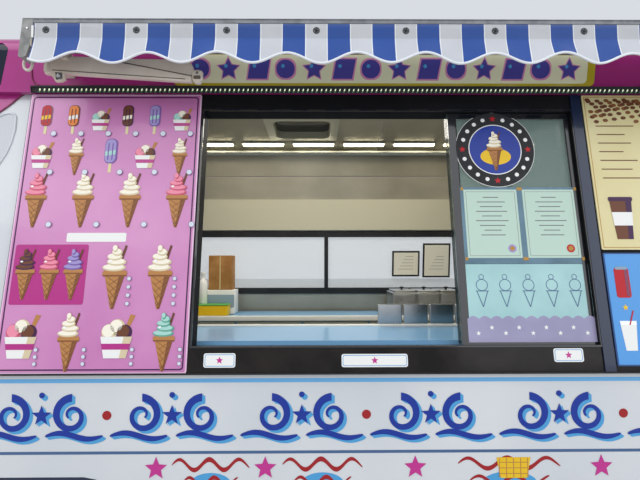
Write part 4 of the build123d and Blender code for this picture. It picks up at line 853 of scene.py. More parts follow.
def tub_icon(B, F, cx, cy, h, c1, k=0.0):
    """generic tub with three scoops and a wafer"""
    w = h * 0.42
    B.prism(F, [(cx + w * 0.30, cy + h * 0.10), (cx + w * 0.42, cy + h * 0.08), (cx + w * 0.80, cy + h * 0.44), (cx + w * 0.56, cy + h * 0.46)], k, k + 0.0008, "waffle_print")
    for dx, dy, c in ((-0.34, 0.13, c1), (0.34, 0.12, "brown" if c1 != "brown" else "ice"), (0.0, 0.22, "ice")):
        B.prism(F, circle(cx + w * dx, cy + h * dy, w * 0.36, 22), k + 0.0008, k + 0.0012, SHADE.get(c, "brown"))
        B.prism(F, circle(cx + w * dx - w * 0.05, cy + h * dy + w * 0.05, w * 0.28, 20), k + 0.0012, k + 0.0016, c)
    B.prism(F, [(cx - w * 0.50, cy - h * 0.36), (cx + w * 0.50, cy - h * 0.36), (cx + w * 0.72, cy + h * 0.04), (cx - w * 0.72, cy + h * 0.04)], k + 0.0016, k + 0.0021, "white_print")
    B.prism(F, [(cx + w * 0.20, cy - h * 0.36), (cx + w * 0.50, cy - h * 0.36), (cx + w * 0.72, cy + h * 0.04), (cx + w * 0.34, cy + h * 0.04)], k + 0.0021, k + 0.0023, "ice_shade")
    B.prism(F, [(cx - w * 0.60, cy - h * 0.20), (cx + w * 0.60, cy - h * 0.20), (cx + w * 0.655, cy - h * 0.09), (cx - w * 0.655, cy - h * 0.09)], k + 0.0023, k + 0.0026, "magenta_print")


def price_dot(B, F, cx, cy, r, k=0.0):
    B.prism(F, circle(cx, cy, r, 20), k, k + 0.0006, "blue_slate")
    B.prism(F, circle(cx, cy, r * 0.88, 20), k + 0.0006, k + 0.0010, "price_white")


BN = 0.0122          # outer face of the black surround
FLAV = ["ice", "strawberry", "ice", "ice", "mint", "ice"]
LOL = [("red", "yellow"), ("orange", "white_print"), ("green", "white_print"), ("brown", "ice"), ("lilac", "mint"), ("yellow", "red")]
# left (pink) menu board: border line, rows of small pictures, large cones below, a darker panel
PB = Batch("menu_board_pink", "van", "hatch_frame")
x0, x1, v0, v1 = -0.4205, 0.2540, 0.003, 1.0700
PB.prism(F_WALL, rrect(x0, x1, v0, v1, 0.006, 3), BN, BN + 0.004, "pink_edge")
PB.prism(F_WALL, rrect(x0 + 0.005, x1 - 0.005, v0 + 0.005, v1 - 0.005, 0.004, 3), BN + 0.004, BN + 0.0046, "pink")
PB.prism(F_WALL, rrect(x0 + 0.011, x1 - 0.011, v0 + 0.011, v1 - 0.011, 0.012, 4), BN + 0.0046, BN + 0.005, "purple_line",
         holes=[rrect(x0 + 0.0158, x1 - 0.0158, v0 + 0.0158, v1 - 0.0158, 0.009, 4)])
K = BN + 0.0048
W_B = x1 - x0
for r_i, (vy_, nn, hh) in enumerate(((0.962, 6, 0.122), (0.812, 5, 0.138), (0.640, 4, 0.205))):
    for c_i in range(nn):
        cx = x0 + 0.072 + c_i * (W_B - 0.144) / (nn - 1)
        q = (r_i * 2 + c_i) % 3
        if r_i == 2:
            cone_icon(PB, F_WALL, cx, vy_, hh, FLAV[(c_i * 2 + 1) % 6], k=K)
        elif q == 1 or (r_i == 0 and q == 0):
            lolly_icon(PB, F_WALL, cx, vy_, hh, *LOL[(r_i * 2 + c_i) % 6], k=K)
        elif q == 2:
            tub_icon(PB, F_WALL, cx, vy_ - 0.005, hh * 0.95, FLAV[(r_i + c_i * 2) % 6], k=K)
        else:
            cone_icon(PB, F_WALL, cx, vy_, hh * 1.05, FLAV[(r_i + c_i) % 6], k=K)
        price_dot(PB, F_WALL, cx + hh * 0.30, vy_ - hh * 0.50, 0.0110, k=K + 0.004)
# small blank label, darker magenta panel at the left with its own cones
PB.prism(F_WALL, rrect(x0 + 0.205, x0 + 0.425, 0.472, 0.506, 0.006), K, K + 0.0008, "white_print")
PB.prism(F_WALL, rrect(x0 + 0.024, x0 + 0.290, 0.242, 0.462, 0.008), K, K + 0.0008, "magenta_print")
for i in range(3):
    cone_icon(PB, F_WALL, x0 + 0.070 + i * 0.087, 0.358, 0.178, ("brown", "strawberry", "lilac")[i], k=K + 0.001)
for i in range(2):
    cone_icon(PB, F_WALL, x0 + 0.395 + i * 0.165, 0.350, 0.225, FLAV[i + 2], k=K)
    for q in range(4):
        price_dot(PB, F_WALL, x0 + 0.450 + i * 0.165, 0.335 - q * 0.030, 0.0075, k=K + 0.004)
for c_i in range(4):
    cx = x0 + 0.085 + c_i * (W_B - 0.170) / 3
    if c_i % 2:
        cone_icon(PB, F_WALL, cx, 0.118, 0.195, FLAV[c_i + 1], k=K)
    else:
        tub_icon(PB, F_WALL, cx, 0.122, 0.185, FLAV[c_i + 1], k=K)
    for q in range(3):
        price_dot(PB, F_WALL, cx + 0.060, 0.085 - q * 0.024, 0.0070, k=K + 0.004)
PB.done()

# right boards: cream above, blue below
RB = Batch("menu_boards_right", "van", "hatch_frame")
RB.prism(F_WALL, rrect(1.774, 2.462, 0.440, 1.070, 0.005, 3), BN, BN + 0.004, "board_cream")
RB.prism(F_WALL, rect(1.781, 2.455, 0.447, 1.063), BN + 0.004, BN + 0.0044, "ochre", holes=[rect(1.7835, 2.4525, 0.4495, 1.0605)])
RB.prism(F_WALL, rrect(1.774, 2.462, 0.022, 0.428, 0.005, 3), BN, BN + 0.004, "board_blue_edge")
RB.prism(F_WALL, rrect(1.779, 2.457, 0.027, 0.423, 0.004, 3), BN + 0.004, BN + 0.0046, "board_blue")
K2 = BN + 0.0046
# cream board: a drift of beans along the top, blank price lines, paper cups below
for i in range(150):
    cx = 1.795 + (i * 0.6180339 % 1.0) * 0.650
    cv = 1.050 - (i * 0.7548777 % 1.0) ** 1.5 * 0.095
    RB.prism(F_WALL, circle(cx, cv, 0.0105, 10, ry=0.0072), K2 + 0.0002 * (i % 3), K2 + 0.0006 + 0.0002 * (i % 3), ("brown", "waffle_dark", "brown")[i % 3])
for c_i in range(2):
    for q in range(7):
        ww = (0.150, 0.110, 0.130, 0.095, 0.145, 0.120, 0.160)[(q + c_i * 3) % 7]
        RB.prism(F_WALL, rect(1.815 + c_i * 0.310, 1.815 + c_i * 0.310 + ww, 0.935 - q * 0.036, 0.9385 - q * 0.036), K2, K2 + 0.0006, "brown")
        price_dot(RB, F_WALL, 1.815 + c_i * 0.310 + 0.215, 0.937 - q * 0.036, 0.0080, k=K2)
for c_i in range(4):
    cx, w_, z_ = 1.868 + c_i * 0.155, 0.042, 0.480
    RB.prism(F_WALL, [(cx - w_ * 0.72, z_), (cx + w_ * 0.72, z_), (cx + w_, z_ + 0.150), (cx - w_, z_ + 0.150)], K2, K2 + 0.0008, ("brown", "waffle_print", "kraft", "brown")[c_i])
    RB.prism(F_WALL, [(cx + w_ * 0.30, z_), (cx + w_ * 0.72, z_), (cx + w_, z_ + 0.150), (cx + w_ * 0.45, z_ + 0.150)], K2 + 0.0008, K2 + 0.0011, ("purple_line", "waffle_dark", "brown", "purple_line")[c_i])
    RB.prism(F_WALL, [(cx - w_ * 0.84, z_ + 0.052), (cx + w_ * 0.84, z_ + 0.052), (cx + w_ * 0.94, z_ + 0.104), (cx - w_ * 0.94, z_ + 0.104)], K2 + 0.0011, K2 + 0.0014, "white_print")
    RB.prism(F_WALL, rrect(cx - w_ * 1.10, cx + w_ * 1.10, z_ + 0.148, z_ + 0.164, 0.005), K2 + 0.0011, K2 + 0.0016, "purple_line")
# blue board: plain drink cans, bottles and tumblers
for r_i, vy_ in enumerate((0.262, 0.075)):
    for c_i in range(6):
        cx = 1.832 + c_i * 0.116
        q = (c_i + r_i * 2) % 3
        col = ["red", "white_print", "orange", "green", "yellow", "lilac"][(c_i * 2 + r_i) % 6]
        if q == 0:
            RB.prism(F_WALL, rrect(cx - 0.027, cx + 0.027, vy_, vy_ + 0.110, 0.010, 4), K2, K2 + 0.0008, col)
            RB.prism(F_WALL, rect(cx + 0.010, cx + 0.022, vy_ + 0.006, vy_ + 0.104), K2 + 0.0008, K2 + 0.0011, SHADE.get(col, "ice_shade"))
            RB.prism(F_WALL, rrect(cx - 0.022, cx + 0.022, vy_ + 0.103, vy_ + 0.114, 0.004, 3), K2 + 0.0008, K2 + 0.0014, "backing")
        elif q == 1:
            RB.prism(F_WALL, [(cx - 0.022, vy_), (cx + 0.022, vy_), (cx + 0.022, vy_ + 0.082), (cx + 0.009, vy_ + 0.104), (cx + 0.009, vy_ + 0.128),
                              (cx - 0.009, vy_ + 0.128), (cx - 0.009, vy_ + 0.104), (cx - 0.022, vy_ + 0.082)], K2, K2 + 0.0008, SHADE.get(col, "ice_shade"))
            RB.prism(F_WALL, rect(cx - 0.0225, cx + 0.0225, vy_ + 0.030, vy_ + 0.066), K2 + 0.0008, K2 + 0.0012, col)
            RB.prism(F_WALL, rrect(cx - 0.011, cx + 0.011, vy_ + 0.124, vy_ + 0.136, 0.003, 2), K2 + 0.0008, K2 + 0.0012, "white_print")
        else:
            RB.prism(F_WALL, [(cx - 0.020, vy_), (cx + 0.020, vy_), (cx + 0.030, vy_ + 0.104), (cx - 0.030, vy_ + 0.104)], K2, K2 + 0.0008, col)
            RB.prism(F_WALL, [(cx - 0.029, vy_ + 0.090), (cx + 0.029, vy_ + 0.090), (cx + 0.030, vy_ + 0.104), (cx - 0.030, vy_ + 0.104)], K2 + 0.0008, K2 + 0.0011, "gloss_spot")
            RB.prism(F_WALL, [(cx + 0.002, vy_ + 0.090), (cx + 0.007, vy_ + 0.090), (cx + 0.026, vy_ + 0.140), (cx + 0.021, vy_ + 0.141)], K2 + 0.0011, K2 + 0.0013, "red")
for c_i in range(9):
    RB.prism(F_WALL, star(1.83 + c_i * 0.072, 0.227, 0.012), K2, K2 + 0.0008, "white_print" if c_i % 2 else "yellow")
RB.done()

# glass bay: black stiles round the three panes, seals
GB = Batch("glass_bay_frame", "van", "hatch_frame")
px0, px1, pv0, pv1 = 1.2345, 1.7225, 0.0955, 1.0005
GB.prism(F_WALL, rect(px0, px1, pv0, pv1), -0.0115, 0.0005, "black_gloss", holes=[rect(px0 + 0.030, px1 - 0.020, pv0 + 0.022, pv1 - 0.022)])
GB.prism(F_WALL, rect(px0 + 0.030, px1 - 0.020, pv0 + 0.022, pv1 - 0.022), -0.0105, -0.0004, "rubber",
         holes=[rect(px0 + 0.034, px1 - 0.024, pv0 + 0.026, pv1 - 0.026)])
# pillar and surround relief
GB.prism(F_WALL, rect(1.727, 1.766, 0.0, 1.0725), BN, BN + 0.006, "navy")
GB.prism(F_WALL, rect(0.2600, 1.7265, 0.0885, 1.0080), BN - 0.0002, BN + 0.0045, "black_gloss",
         holes=[rect(0.2672, 1.7228, 0.0952, 1.0008)])
GB.prism(F_WALL, rect(-0.424, 2.474, 0.0, 0.0885), BN - 0.0001, BN + 0.0006, "black_sill")
GB.prism(F_WALL, rect(-0.424, 2.474, -0.002, 0.004), 0.0004, BN + 0.010, "rubber")
GB.done(bevel=0.0008)
for nm, n0, n1, node in (("outer", -0.027, -0.017, "hatch_pane_outer"), ("inner", -0.043, -0.033, "hatch_pane_inner")):
    PN = Batch("pane_sash_" + nm, "pane_" + nm, node)
    xx0, xx1, vv0, vv1 = 1.2342, 1.7178, 0.1002, 0.9958
    PN.prism(F_WALL, rect(xx0, xx1, vv0, vv1), n0 - 0.0006, n1 + 0.0006, "black_gloss", holes=[rect(xx0 + 0.026, xx1 - 0.026, vv0 + 0.020, vv1 - 0.020)])
    PN.prism(F_WALL, rrect(xx0 + 0.006, xx0 + 0.018, 0.46, 0.60, 0.004), n0 - 0.010, n0 - 0.0004, "alu")
    # little rollers in the bottom rail
    for rx in (xx0 + 0.060, xx1 - 0.060):
        PN.lathe(F_WALL @ Matrix.Translation((rx, vv0 - 0.0028, (n0 + n1) / 2 - 0.003)), [(0.0, 0.0), (0.0055, 0.0), (0.0055, 0.006), (0.0, 0.006)], "steel", 18)
    PN.done(bevel=0.0008)

# stickers and papers behind / on the glass (generic)
ST = Batch("glass_papers", "van", "fixed_windows")
G = 0.0004
cx, cy = 1.4145, 0.8450
ST.prism(F_WALL, circle(cx, cy, 0.156, 64), -0.0006, G, "white_print")
ST.prism(F_WALL, circle(cx, cy, 0.154, 64), G, G + 0.0005, "black_matt", holes=[circle(cx, cy, 0.105, 48)])
ST.prism(F_WALL, circle(cx, cy, 0.101, 48), G, G + 0.0004, "blue_dark")
ST.prism(F_WALL, circle(cx, cy - 0.030, 0.060, 40, ry=0.034), G + 0.0004, G + 0.0006, "yellow")
cone_icon(ST, F_WALL, cx - 0.002, cy - 0.002, 0.156, "ice", k=G + 0.0007)
for i in range(20):
    a = 2 * math.pi * i / 20
    if i % 5 == 0:
        ST.prism(F_WALL, star(cx + 0.1295 * math.cos(a), cy + 0.1295 * math.sin(a), 0.0135), G + 0.0005, G + 0.0009, "red")
    else:
        ST.prism(F_WALL, circle(cx + 0.1295 * math.cos(a), cy + 0.1295 * math.sin(a), 0.0082, 12), G + 0.0005, G + 0.0009, "white_print")
ST.prism(F_WALL, rect(1.264, 1.716, 0.390, 0.6885), -0.0008, G, "backing_teal")
for i, (a0, a1) in enumerate(((1.277, 1.482), (1.504, 1.703))):
    ST.prism(F_WALL, rect(a0, a1, 0.412, 0.679), G, G + 0.0004, "paper_mint")
    ST.prism(F_WALL, rect(a0 + 0.008, a1 - 0.008, 0.420, 0.671), G + 0.0004, G + 0.0006, "ink", holes=[rect(a0 + 0.0092, a1 - 0.0092, 0.4212, 0.6698)])
    for k in range(9):
        ww = [0.055, 0.10, 0.08, 0.11, 0.07, 0.115, 0.09, 0.06, 0.085][k] / 2 * (a1 - a0) / 0.19
        yy = 0.648 - k * 0.0185
        ST.prism(F_WALL, rect((a0 + a1) / 2 - ww, (a0 + a1) / 2 + ww, yy - 0.0016, yy + 0.0016), G + 0.0004, G + 0.0006, "ink")
    ST.prism(F_WALL, circle(a1 - 0.036, 0.448, 0.0155, 24), G + 0.0006, G + 0.001, "red" if i else "lilac")
    ST.prism(F_WALL, star(a1 - 0.036, 0.448, 0.011, 8, 0.7), G + 0.001, G + 0.0012, "ochre")
    for tx in (a0 - 0.010, a1 + 0.002):
        for ty in (0.403, 0.676):
            ST.prism(F_WALL, rect(tx, tx + 0.010, ty, ty + 0.012), G + 0.0004, G + 0.0007, "ochre")
# poster with scalloped edge
X0, X1, V0, V1 = 1.258, 1.728, 0.105, 0.3885
ST.prism(F_WALL, rect(X0, X1, V0, V1), -0.0008, G, "poster_mint")
wave = [(X0, V0), (X1, V0)] + [(X1 - (X1 - X0) * i / 44, V0 + 0.083 + 0.011 * abs(math.sin(math.pi * i / 4))) for i in range(45)]
ST.prism(F_WALL, wave, G, G + 0.0005, "poster_lilac")
for i in range(5):
    cx = X0 + 0.062 + i * 0.0865
    # outline cones in line drawing
    for (xa, ya, xb, yb) in ((-0.020, 0.184, 0.0, 0.126), (0.020, 0.184, 0.0, 0.126), (-0.024, 0.184, 0.024, 0.184)):
        dx, dy = xb - xa, yb - ya
        L5 = math.hypot(dx, dy)
        ox, oy = -dy / L5 * 0.0013, dx / L5 * 0.0013
        ST.prism(F_WALL, [(cx + xa + ox, V0 + ya + oy), (cx + xa - ox, V0 + ya - oy), (cx + xb - ox, V0 + yb - oy), (cx + xb + ox, V0 + yb + oy)][::-1], G + 0.0006, G + 0.0010, "blue_slate")
    ST.prism(F_WALL, circle(cx, V0 + 0.206, 0.022, 28), G, G + 0.0005, "blue_slate", holes=[circle(cx, V0 + 0.206, 0.0195, 28)])
    ST.prism(F_WALL, circle(cx, V0 + 0.236, 0.010, 20), G, G + 0.0005, "blue_slate", holes=[circle(cx, V0 + 0.236, 0.0078, 20)])
for i in range(9):
    ST.prism(F_WALL, star(X0 + 0.037 + i * 0.0495, V0 + 0.032 + 0.020 * (i % 2), 0.009), G + 0.0005, G + 0.0008, "white_print")
ST.done()
# small blank stickers on the sill strip
S2 = Batch("sill_stickers", "van", "hatch_frame")
for a0, a1, b0, b1, c in ((0.312, 0.424, 0.022, 0.071, "white_print"), (0.798, 1.032, 0.022, 0.067, "white_print"), (1.552, 1.658, 0.037, 0.084, "white_print")):
    S2.prism(F_WALL, rrect(a0, a1, b0, b1, 0.008), BN + 0.0006, BN + 0.0012, c)
    S2.prism(F_WALL, rrect(a0 + 0.004, a1 - 0.004, b0 + 0.004, b1 - 0.004, 0.006), BN + 0.0012, BN + 0.0014, "blue_mid",
             holes=[rrect(a0 + 0.006, a1 - 0.006, b0 + 0.006, b1 - 0.006, 0.005)])
    S2.prism(F_WALL, star((a0 + a1) / 2, (b0 + b1) / 2, 0.013), BN + 0.0012, BN + 0.0016, "star")
S2.done()

# ------------------------------------------------------------------ fascia: sign boards, groove line
for F, tag, sx in ((F_FAS, "left", 1), (F_FASR, "right", -1)):
    S = Batch("sign_board_" + tag, "van", "roof_shell")
    a0, a1 = sorted((sx * 0.150, sx * 1.810))
    S.prism(F, rrect(a0, a1, 0.0235, 0.150, 0.020, 8), 0.0002, 0.006, "gold")
    S.prism(F, rrect(a0 + 0.031, a1 - 0.031, 0.034, 0.140, 0.018, 8), 0.006, 0.0072, "cream")
    # generic large blue shapes with a pink outline in place of lettering
    n = 14
    for i in range(n):
        cx = a0 + 0.105 + (a1 - a0 - 0.21) * i / (n - 1)
        for gg, key, k0, k1 in ((0.006, "sign_pink", 0.0072, 0.0076), (0.0, "sign_purple", 0.0076, 0.0082)):
            if i % 3 == 0:
                S.prism(F, rrect(cx - 0.036 - gg, cx + 0.036 + gg, 0.052 - gg, 0.122 + gg, 0.034, 8), k0, k1, key)
            elif i % 3 == 1:
                S.prism(F, star(cx, 0.086, 0.042 + gg * 1.3, 5, 0.5), k0, k1, key)
            else:
                S.prism(F, [(cx - 0.038 - gg, 0.050 - gg), (cx + 0.038 + gg, 0.050 - gg), (cx + 0.052 + gg, 0.124 + gg), (cx - 0.024 - gg, 0.124 + gg)], k0, k1, key)
        S.prism(F, circle(cx - 0.010, 0.098, 0.007, 14), 0.0082, 0.0085, "blue_mid")
    S.done()
# raised moulding line round the front corner of the sign panel, seam in the header; both drawn in deep magenta as
# painted groove shade
T = Batch("fascia_mouldings", "van", "roof_shell")
for F, sx in ((F_FAS, 1), (F_FASR, -1)):
    pth = [(-0.400, 0.150), (-0.4020, 0.115), (-0.4033, 0.081), (-0.4043, 0.052), (-0.4000, 0.0400), (-0.3946, 0.0305), (-0.3880, 0.0245), (-0.3815, 0.0240)]
    T.tube([F @ Vector((p[0] * sx, p[1], 0.0008)) for p in pth], 0.0032, "magenta_deep_print_and_painted_edge_shade", 8)
    T.tube([F @ Vector((p * sx, 0.0245, 0.0006)) for p in (-0.3815, 1.40)], 0.0022, "magenta_deep_print_and_painted_edge_shade", 8)
T.done()

# ------------------------------------------------------------------ lower side livery, both sides
def ribbon(B, F, xa, xb, vc, amp, key, w=0.014, turns=1.0, k=0.0003):
    """wavy ribbon print"""
    n = 40
    top, bot = [], []
    for i in range(n + 1):
        t = i / n
        x = xa + (xb - xa) * t
        v = vc + amp * math.sin(2 * math.pi * turns * t)
        ww = w * (0.25 + 0.75 * math.sin(math.pi * t) ** 0.5) if 0 < t < 1 else w * 0.2
        top.append((x, v + ww))
        bot.append((x, v - ww))
    B.prism(F, top + bot[::-1], k, k + 0.0006, key)


def scroll(cx, cv, r0, r1, turns, w, n=60, rot=0.0, mirror=1):
    """outline of a tapering spiral scroll"""
    a, b = [], []
    for i in range(n + 1):
        t = i / n
        ang = rot + mirror * 2 * math.pi * turns * t
        r = r0 + (r1 - r0) * t
        ww = w * (1 - 0.75 * t)
        a.append((cx + (r + ww) * math.cos(ang), cv + (r + ww) * math.sin(ang)))
        b.append((cx + (r - ww) * math.cos(ang), cv + (r - ww) * math.sin(ang)))
    return a + b[::-1]


for F, tag, sx, xs in ((F_LOW, "left", 1, 0), (F_LOWR, "right", -1, 0)):
    Lv = Batch("livery_" + tag, "van", "lower_sides")

    def X(a):
        return a * sx

    def band(xa, xb, va, vb, key, k=0.0, t=0.0006):
        p, q = sorted((X(xa), X(xb)))
        Lv.prism(F, rect(p, q, va, vb), k, k + t, key)
    # raised lip under the hatch, light blue stripe and slate groove
    band(-0.723, 2.856, 1.1350, 1.1490, "white", 0.0, 0.0035)
    band(-0.723, 2.856, 1.1200, 1.1345, "blue_light")
    band(-0.723, 2.856, 0.8750, 0.8850, "blue_slate")
    # scroll ornament between the stripes, in the two blues
    cell = 0.455
    i = 0
    xcur = -0.48
    while xcur < 2.70:
        c = xcur + cell / 2
        for dx, dv, key, kk in ((0.011, -0.009, "blue_mid", 0.0003), (0.0055, -0.0045, "blue_mid", 0.0005), (0, 0, "blue_dark", 0.0010)):
            for mm in (1, -1):
                pts = scroll(X(c + mm * 0.105) + dx, 1.0075 + dv, 0.062, 0.012, 1.35, 0.0135, rot=math.pi / 2, mirror=mm * sx)
                Lv.prism(F, pts, kk, kk + 0.0006, key)
                ribbon(Lv, F, X(c + mm * 0.015) + dx, X(c + mm * 0.215) + dx, 0.938 + dv, 0.010 * mm, key, 0.010, 1.0, kk)
            Lv.prism(F, star(X(c) + dx, 1.0075 + dv, 0.036, 5, 0.42), kk, kk + 0.0006, key)
            Lv.prism(F, circle(X(c) + dx, 1.078 + dv, 0.010, 18), kk, kk + 0.0006, key)
        if i % 2 == 0:
            Lv.prism(F, circle(X(c + cell / 2) , 1.008, 0.016, 20), 0.0003, 0.0010, "ribbon")
        xcur += cell
        i += 1
    # below the groove: ribbons, stars and waffle motifs
    for a, b in ((0.205, 0.475), (0.590, 0.870), (1.205, 1.565), (1.880, 2.180)):
        ribbon(Lv, F, X(a), X(b), 0.838, 0.018, "ribbon", 0.0085, 2.6)
        Lv.prism(F, circle(X((a + b) / 2), 0.770, (b - a) * 0.27, 28, ry=0.040), 0.0002, 0.0006, "blue_mid")
        ribbon(Lv, F, X(a + 0.04), X(b - 0.04), 0.780, 0.015, "ribbon", 0.0075, 2.2, 0.0006)
    for c in (0.150, 0.530, 1.055, 1.710, 2.300):
        Lv.prism(F, star(X(c), 0.826, 0.040), 0.0009, 0.0016, "star")
    for c in (1.400, 2.480):
        Lv.prism(F, [(X(c) - 0.06, 0.858), (X(c) + 0.06, 0.858), (X(c) + 0.046, 0.788), (X(c) - 0.046, 0.788)], 0.0012, 0.0018, "yellow")
        for q in range(5):
            Lv.prism(F, rect(X(c) - 0.052 + q * 0.0250, X(c) - 0.049 + q * 0.0250, 0.790, 0.856), 0.0018, 0.0021, "waffle_print")
        for q in range(3):
            Lv.prism(F, rect(X(c) - 0.050, X(c) + 0.050, 0.802 + q * 0.019, 0.8045 + q * 0.019), 0.0021, 0.0023, "waffle_print")
    # navy lower panel at the front with a round corner, and a magenta sweep behind it
    out = [(-0.723, 0.34), (-0.723, 0.798), (-0.100, 0.798), (-0.058, 0.790), (-0.030, 0.768), (-0.018, 0.730), (-0.016, 0.34)]
    Lv.prism(F, [(X(a), b) for a, b in out], 0.0, 0.0008, "navy")
    band(0.02, 1.185, 0.34, 0.56, "magenta", 0.0)
    band(0.02, 1.185, 0.572, 0.590, "blue_light", 0.0)
    band(2.02, 2.856, 0.34, 0.56, "magenta", 0.0)
    band(2.02, 2.856, 0.572, 0.590, "blue_light", 0.0)
    Lv.done()

# ------------------------------------------------------------------ upper walls: recess mouldings, seams, off side window rubber
U = Batch("wall_mouldings", "van", "serving_wall")
# magenta moulded head of the wall ahead of the hatch, following the fascia corner, with its bead; the bead's deep
# magenta is painted shade along the edge
for F, sx in ((F_WALL, 1), (F_OFF, -1)):
    edge = [(-0.723, 0.850), (-0.670, 0.8960), (-0.620, 0.9395), (-0.5484, 1.0012), (-0.5096, 1.0346), (-0.490, 1.0550), (-0.4712, 1.0732), (-0.450, 1.0850), (-0.4320, 1.0930)]
    U.prism(F, [(sx * a, b) for a, b in edge + [(-0.4320, 1.1000), (-0.723, 1.1000)]], 0.0, 0.0040, "magenta")
    U.tube([F @ Vector((sx * a, b - 0.001, 0.0025)) for a, b in edge], 0.0034, "magenta_deep_print_and_painted_edge_shade", 8)
    # raised border of the side recess left of the board; the flat panel inside it is a darker white, painted shade of
    # the recess
    rec = [(-0.560, 0.9750), (-0.530, 0.9930), (-0.505, 0.9975), (-0.489, 0.9920), (-0.481, 0.9780), (-0.478, 0.926), (-0.486, 0.870), (-0.499, 0.825), (-0.517, 0.788), (-0.560, 0.715), (-0.620, 0.630), (-0.700, 0.530), (-0.723, 0.500)]
    U.prism(F, [(sx * a, b) for a, b in [(-0.723, 0.838)] + rec], 0.0, 0.0008, "white_painted_recess_shade")
    U.tube([F @ Vector((sx * a, b, 0.0005)) for a, b in rec], 0.0048, "white", 8)
a0, a1 = 2.490, 2.850
U.prism(F_WALL, rrect(a0, a1, 0.10, 0.955, 0.03), 0.0, 0.004, "white", holes=[rrect(a0 + 0.012, a1 - 0.012, 0.112, 0.943, 0.022)])
a0, a1 = -2.850, -1.975
U.prism(F_OFF, rrect(a0, a1, 0.10, 0.955, 0.03), 0.0, 0.004, "white", holes=[rrect(a0 + 0.012, a1 - 0.012, 0.112, 0.943, 0.022)])
U.prism(F_OFF, rrect(-1.925, 0.325, 0.150, 0.670, 0.06, 8), 0.0, 0.007, "rubber", holes=[rrect(-1.892, 0.292, 0.183, 0.637, 0.045, 8)])
# inner frame of the off side window, seen through the hatch
U.prism(F_OFF, rrect(-1.930, 0.330, 0.145, 0.662, 0.05, 8), -0.038, -0.0302, "black_matt", holes=[rrect(-1.880, 0.280, 0.195, 0.612, 0.03, 8)])
U.prism(F_OFF, rect(-0.806, -0.774, 0.195, 0.612), -0.037, -0.0302, "black_matt")
U.done(bevel=0.001)
# printed boards on the off side: plain coloured panels with cones ahead of and behind the window
OB = Batch("offside_boards", "van", "offside_wall")
for c, hw, m in ((-2.4125, 0.405, 4), (0.560, 0.105, 1)):
    OB.prism(F_OFF, rrect(c - hw, c + hw, 0.14, 0.915 if m > 1 else 0.66, 0.02), 0.0, 0.004, "pink_edge")
    OB.prism(F_OFF, rrect(c - hw + 0.014, c + hw - 0.014, 0.154, 0.901 if m > 1 else 0.646, 0.014), 0.004, 0.0046, "pink")
    for i in range(m):
        cxx = c + (i - (m - 1) / 2) * 0.185
        cone_icon(OB, F_OFF, cxx, 0.60 if m > 1 else 0.42, 0.36, FLAV[i + 1], k=0.0046)
        lolly_icon(OB, F_OFF, cxx, 0.29 if m > 1 else 0.20, 0.20 if m > 1 else 0.08, *LOL[i], k=0.0046)
        OB.prism(F_OFF, star(cxx, 0.845 if m > 1 else 0.615, 0.024), 0.0046, 0.0054, ["star", "yellow"][i % 2])
OB.done()

# ------------------------------------------------------------------ roof vent dome and the big cones
V = Batch("roof_vent_dome", "van", "roof_vent")
vx, vy = 0.615, 0.330
rings = []
for i in range(7):
    a = math.pi / 2 * i / 6
    g = -0.19 * (1 - math.cos(a)) * 0.35
    rings.append((grow2(rrect(vx - 0.215, vx + 0.215, vy - 0.215, vy + 0.215, 0.06, 6), g), 2.6455 + 0.045 * math.sin(a)))
V.rings(F_XY, rings, "glass_dark")
V.prism(F_XY, rrect(vx - 0.232, vx + 0.232, vy - 0.232, vy + 0.232, 0.03), 2.640, 2.6485, "counter_edge")
V.done()

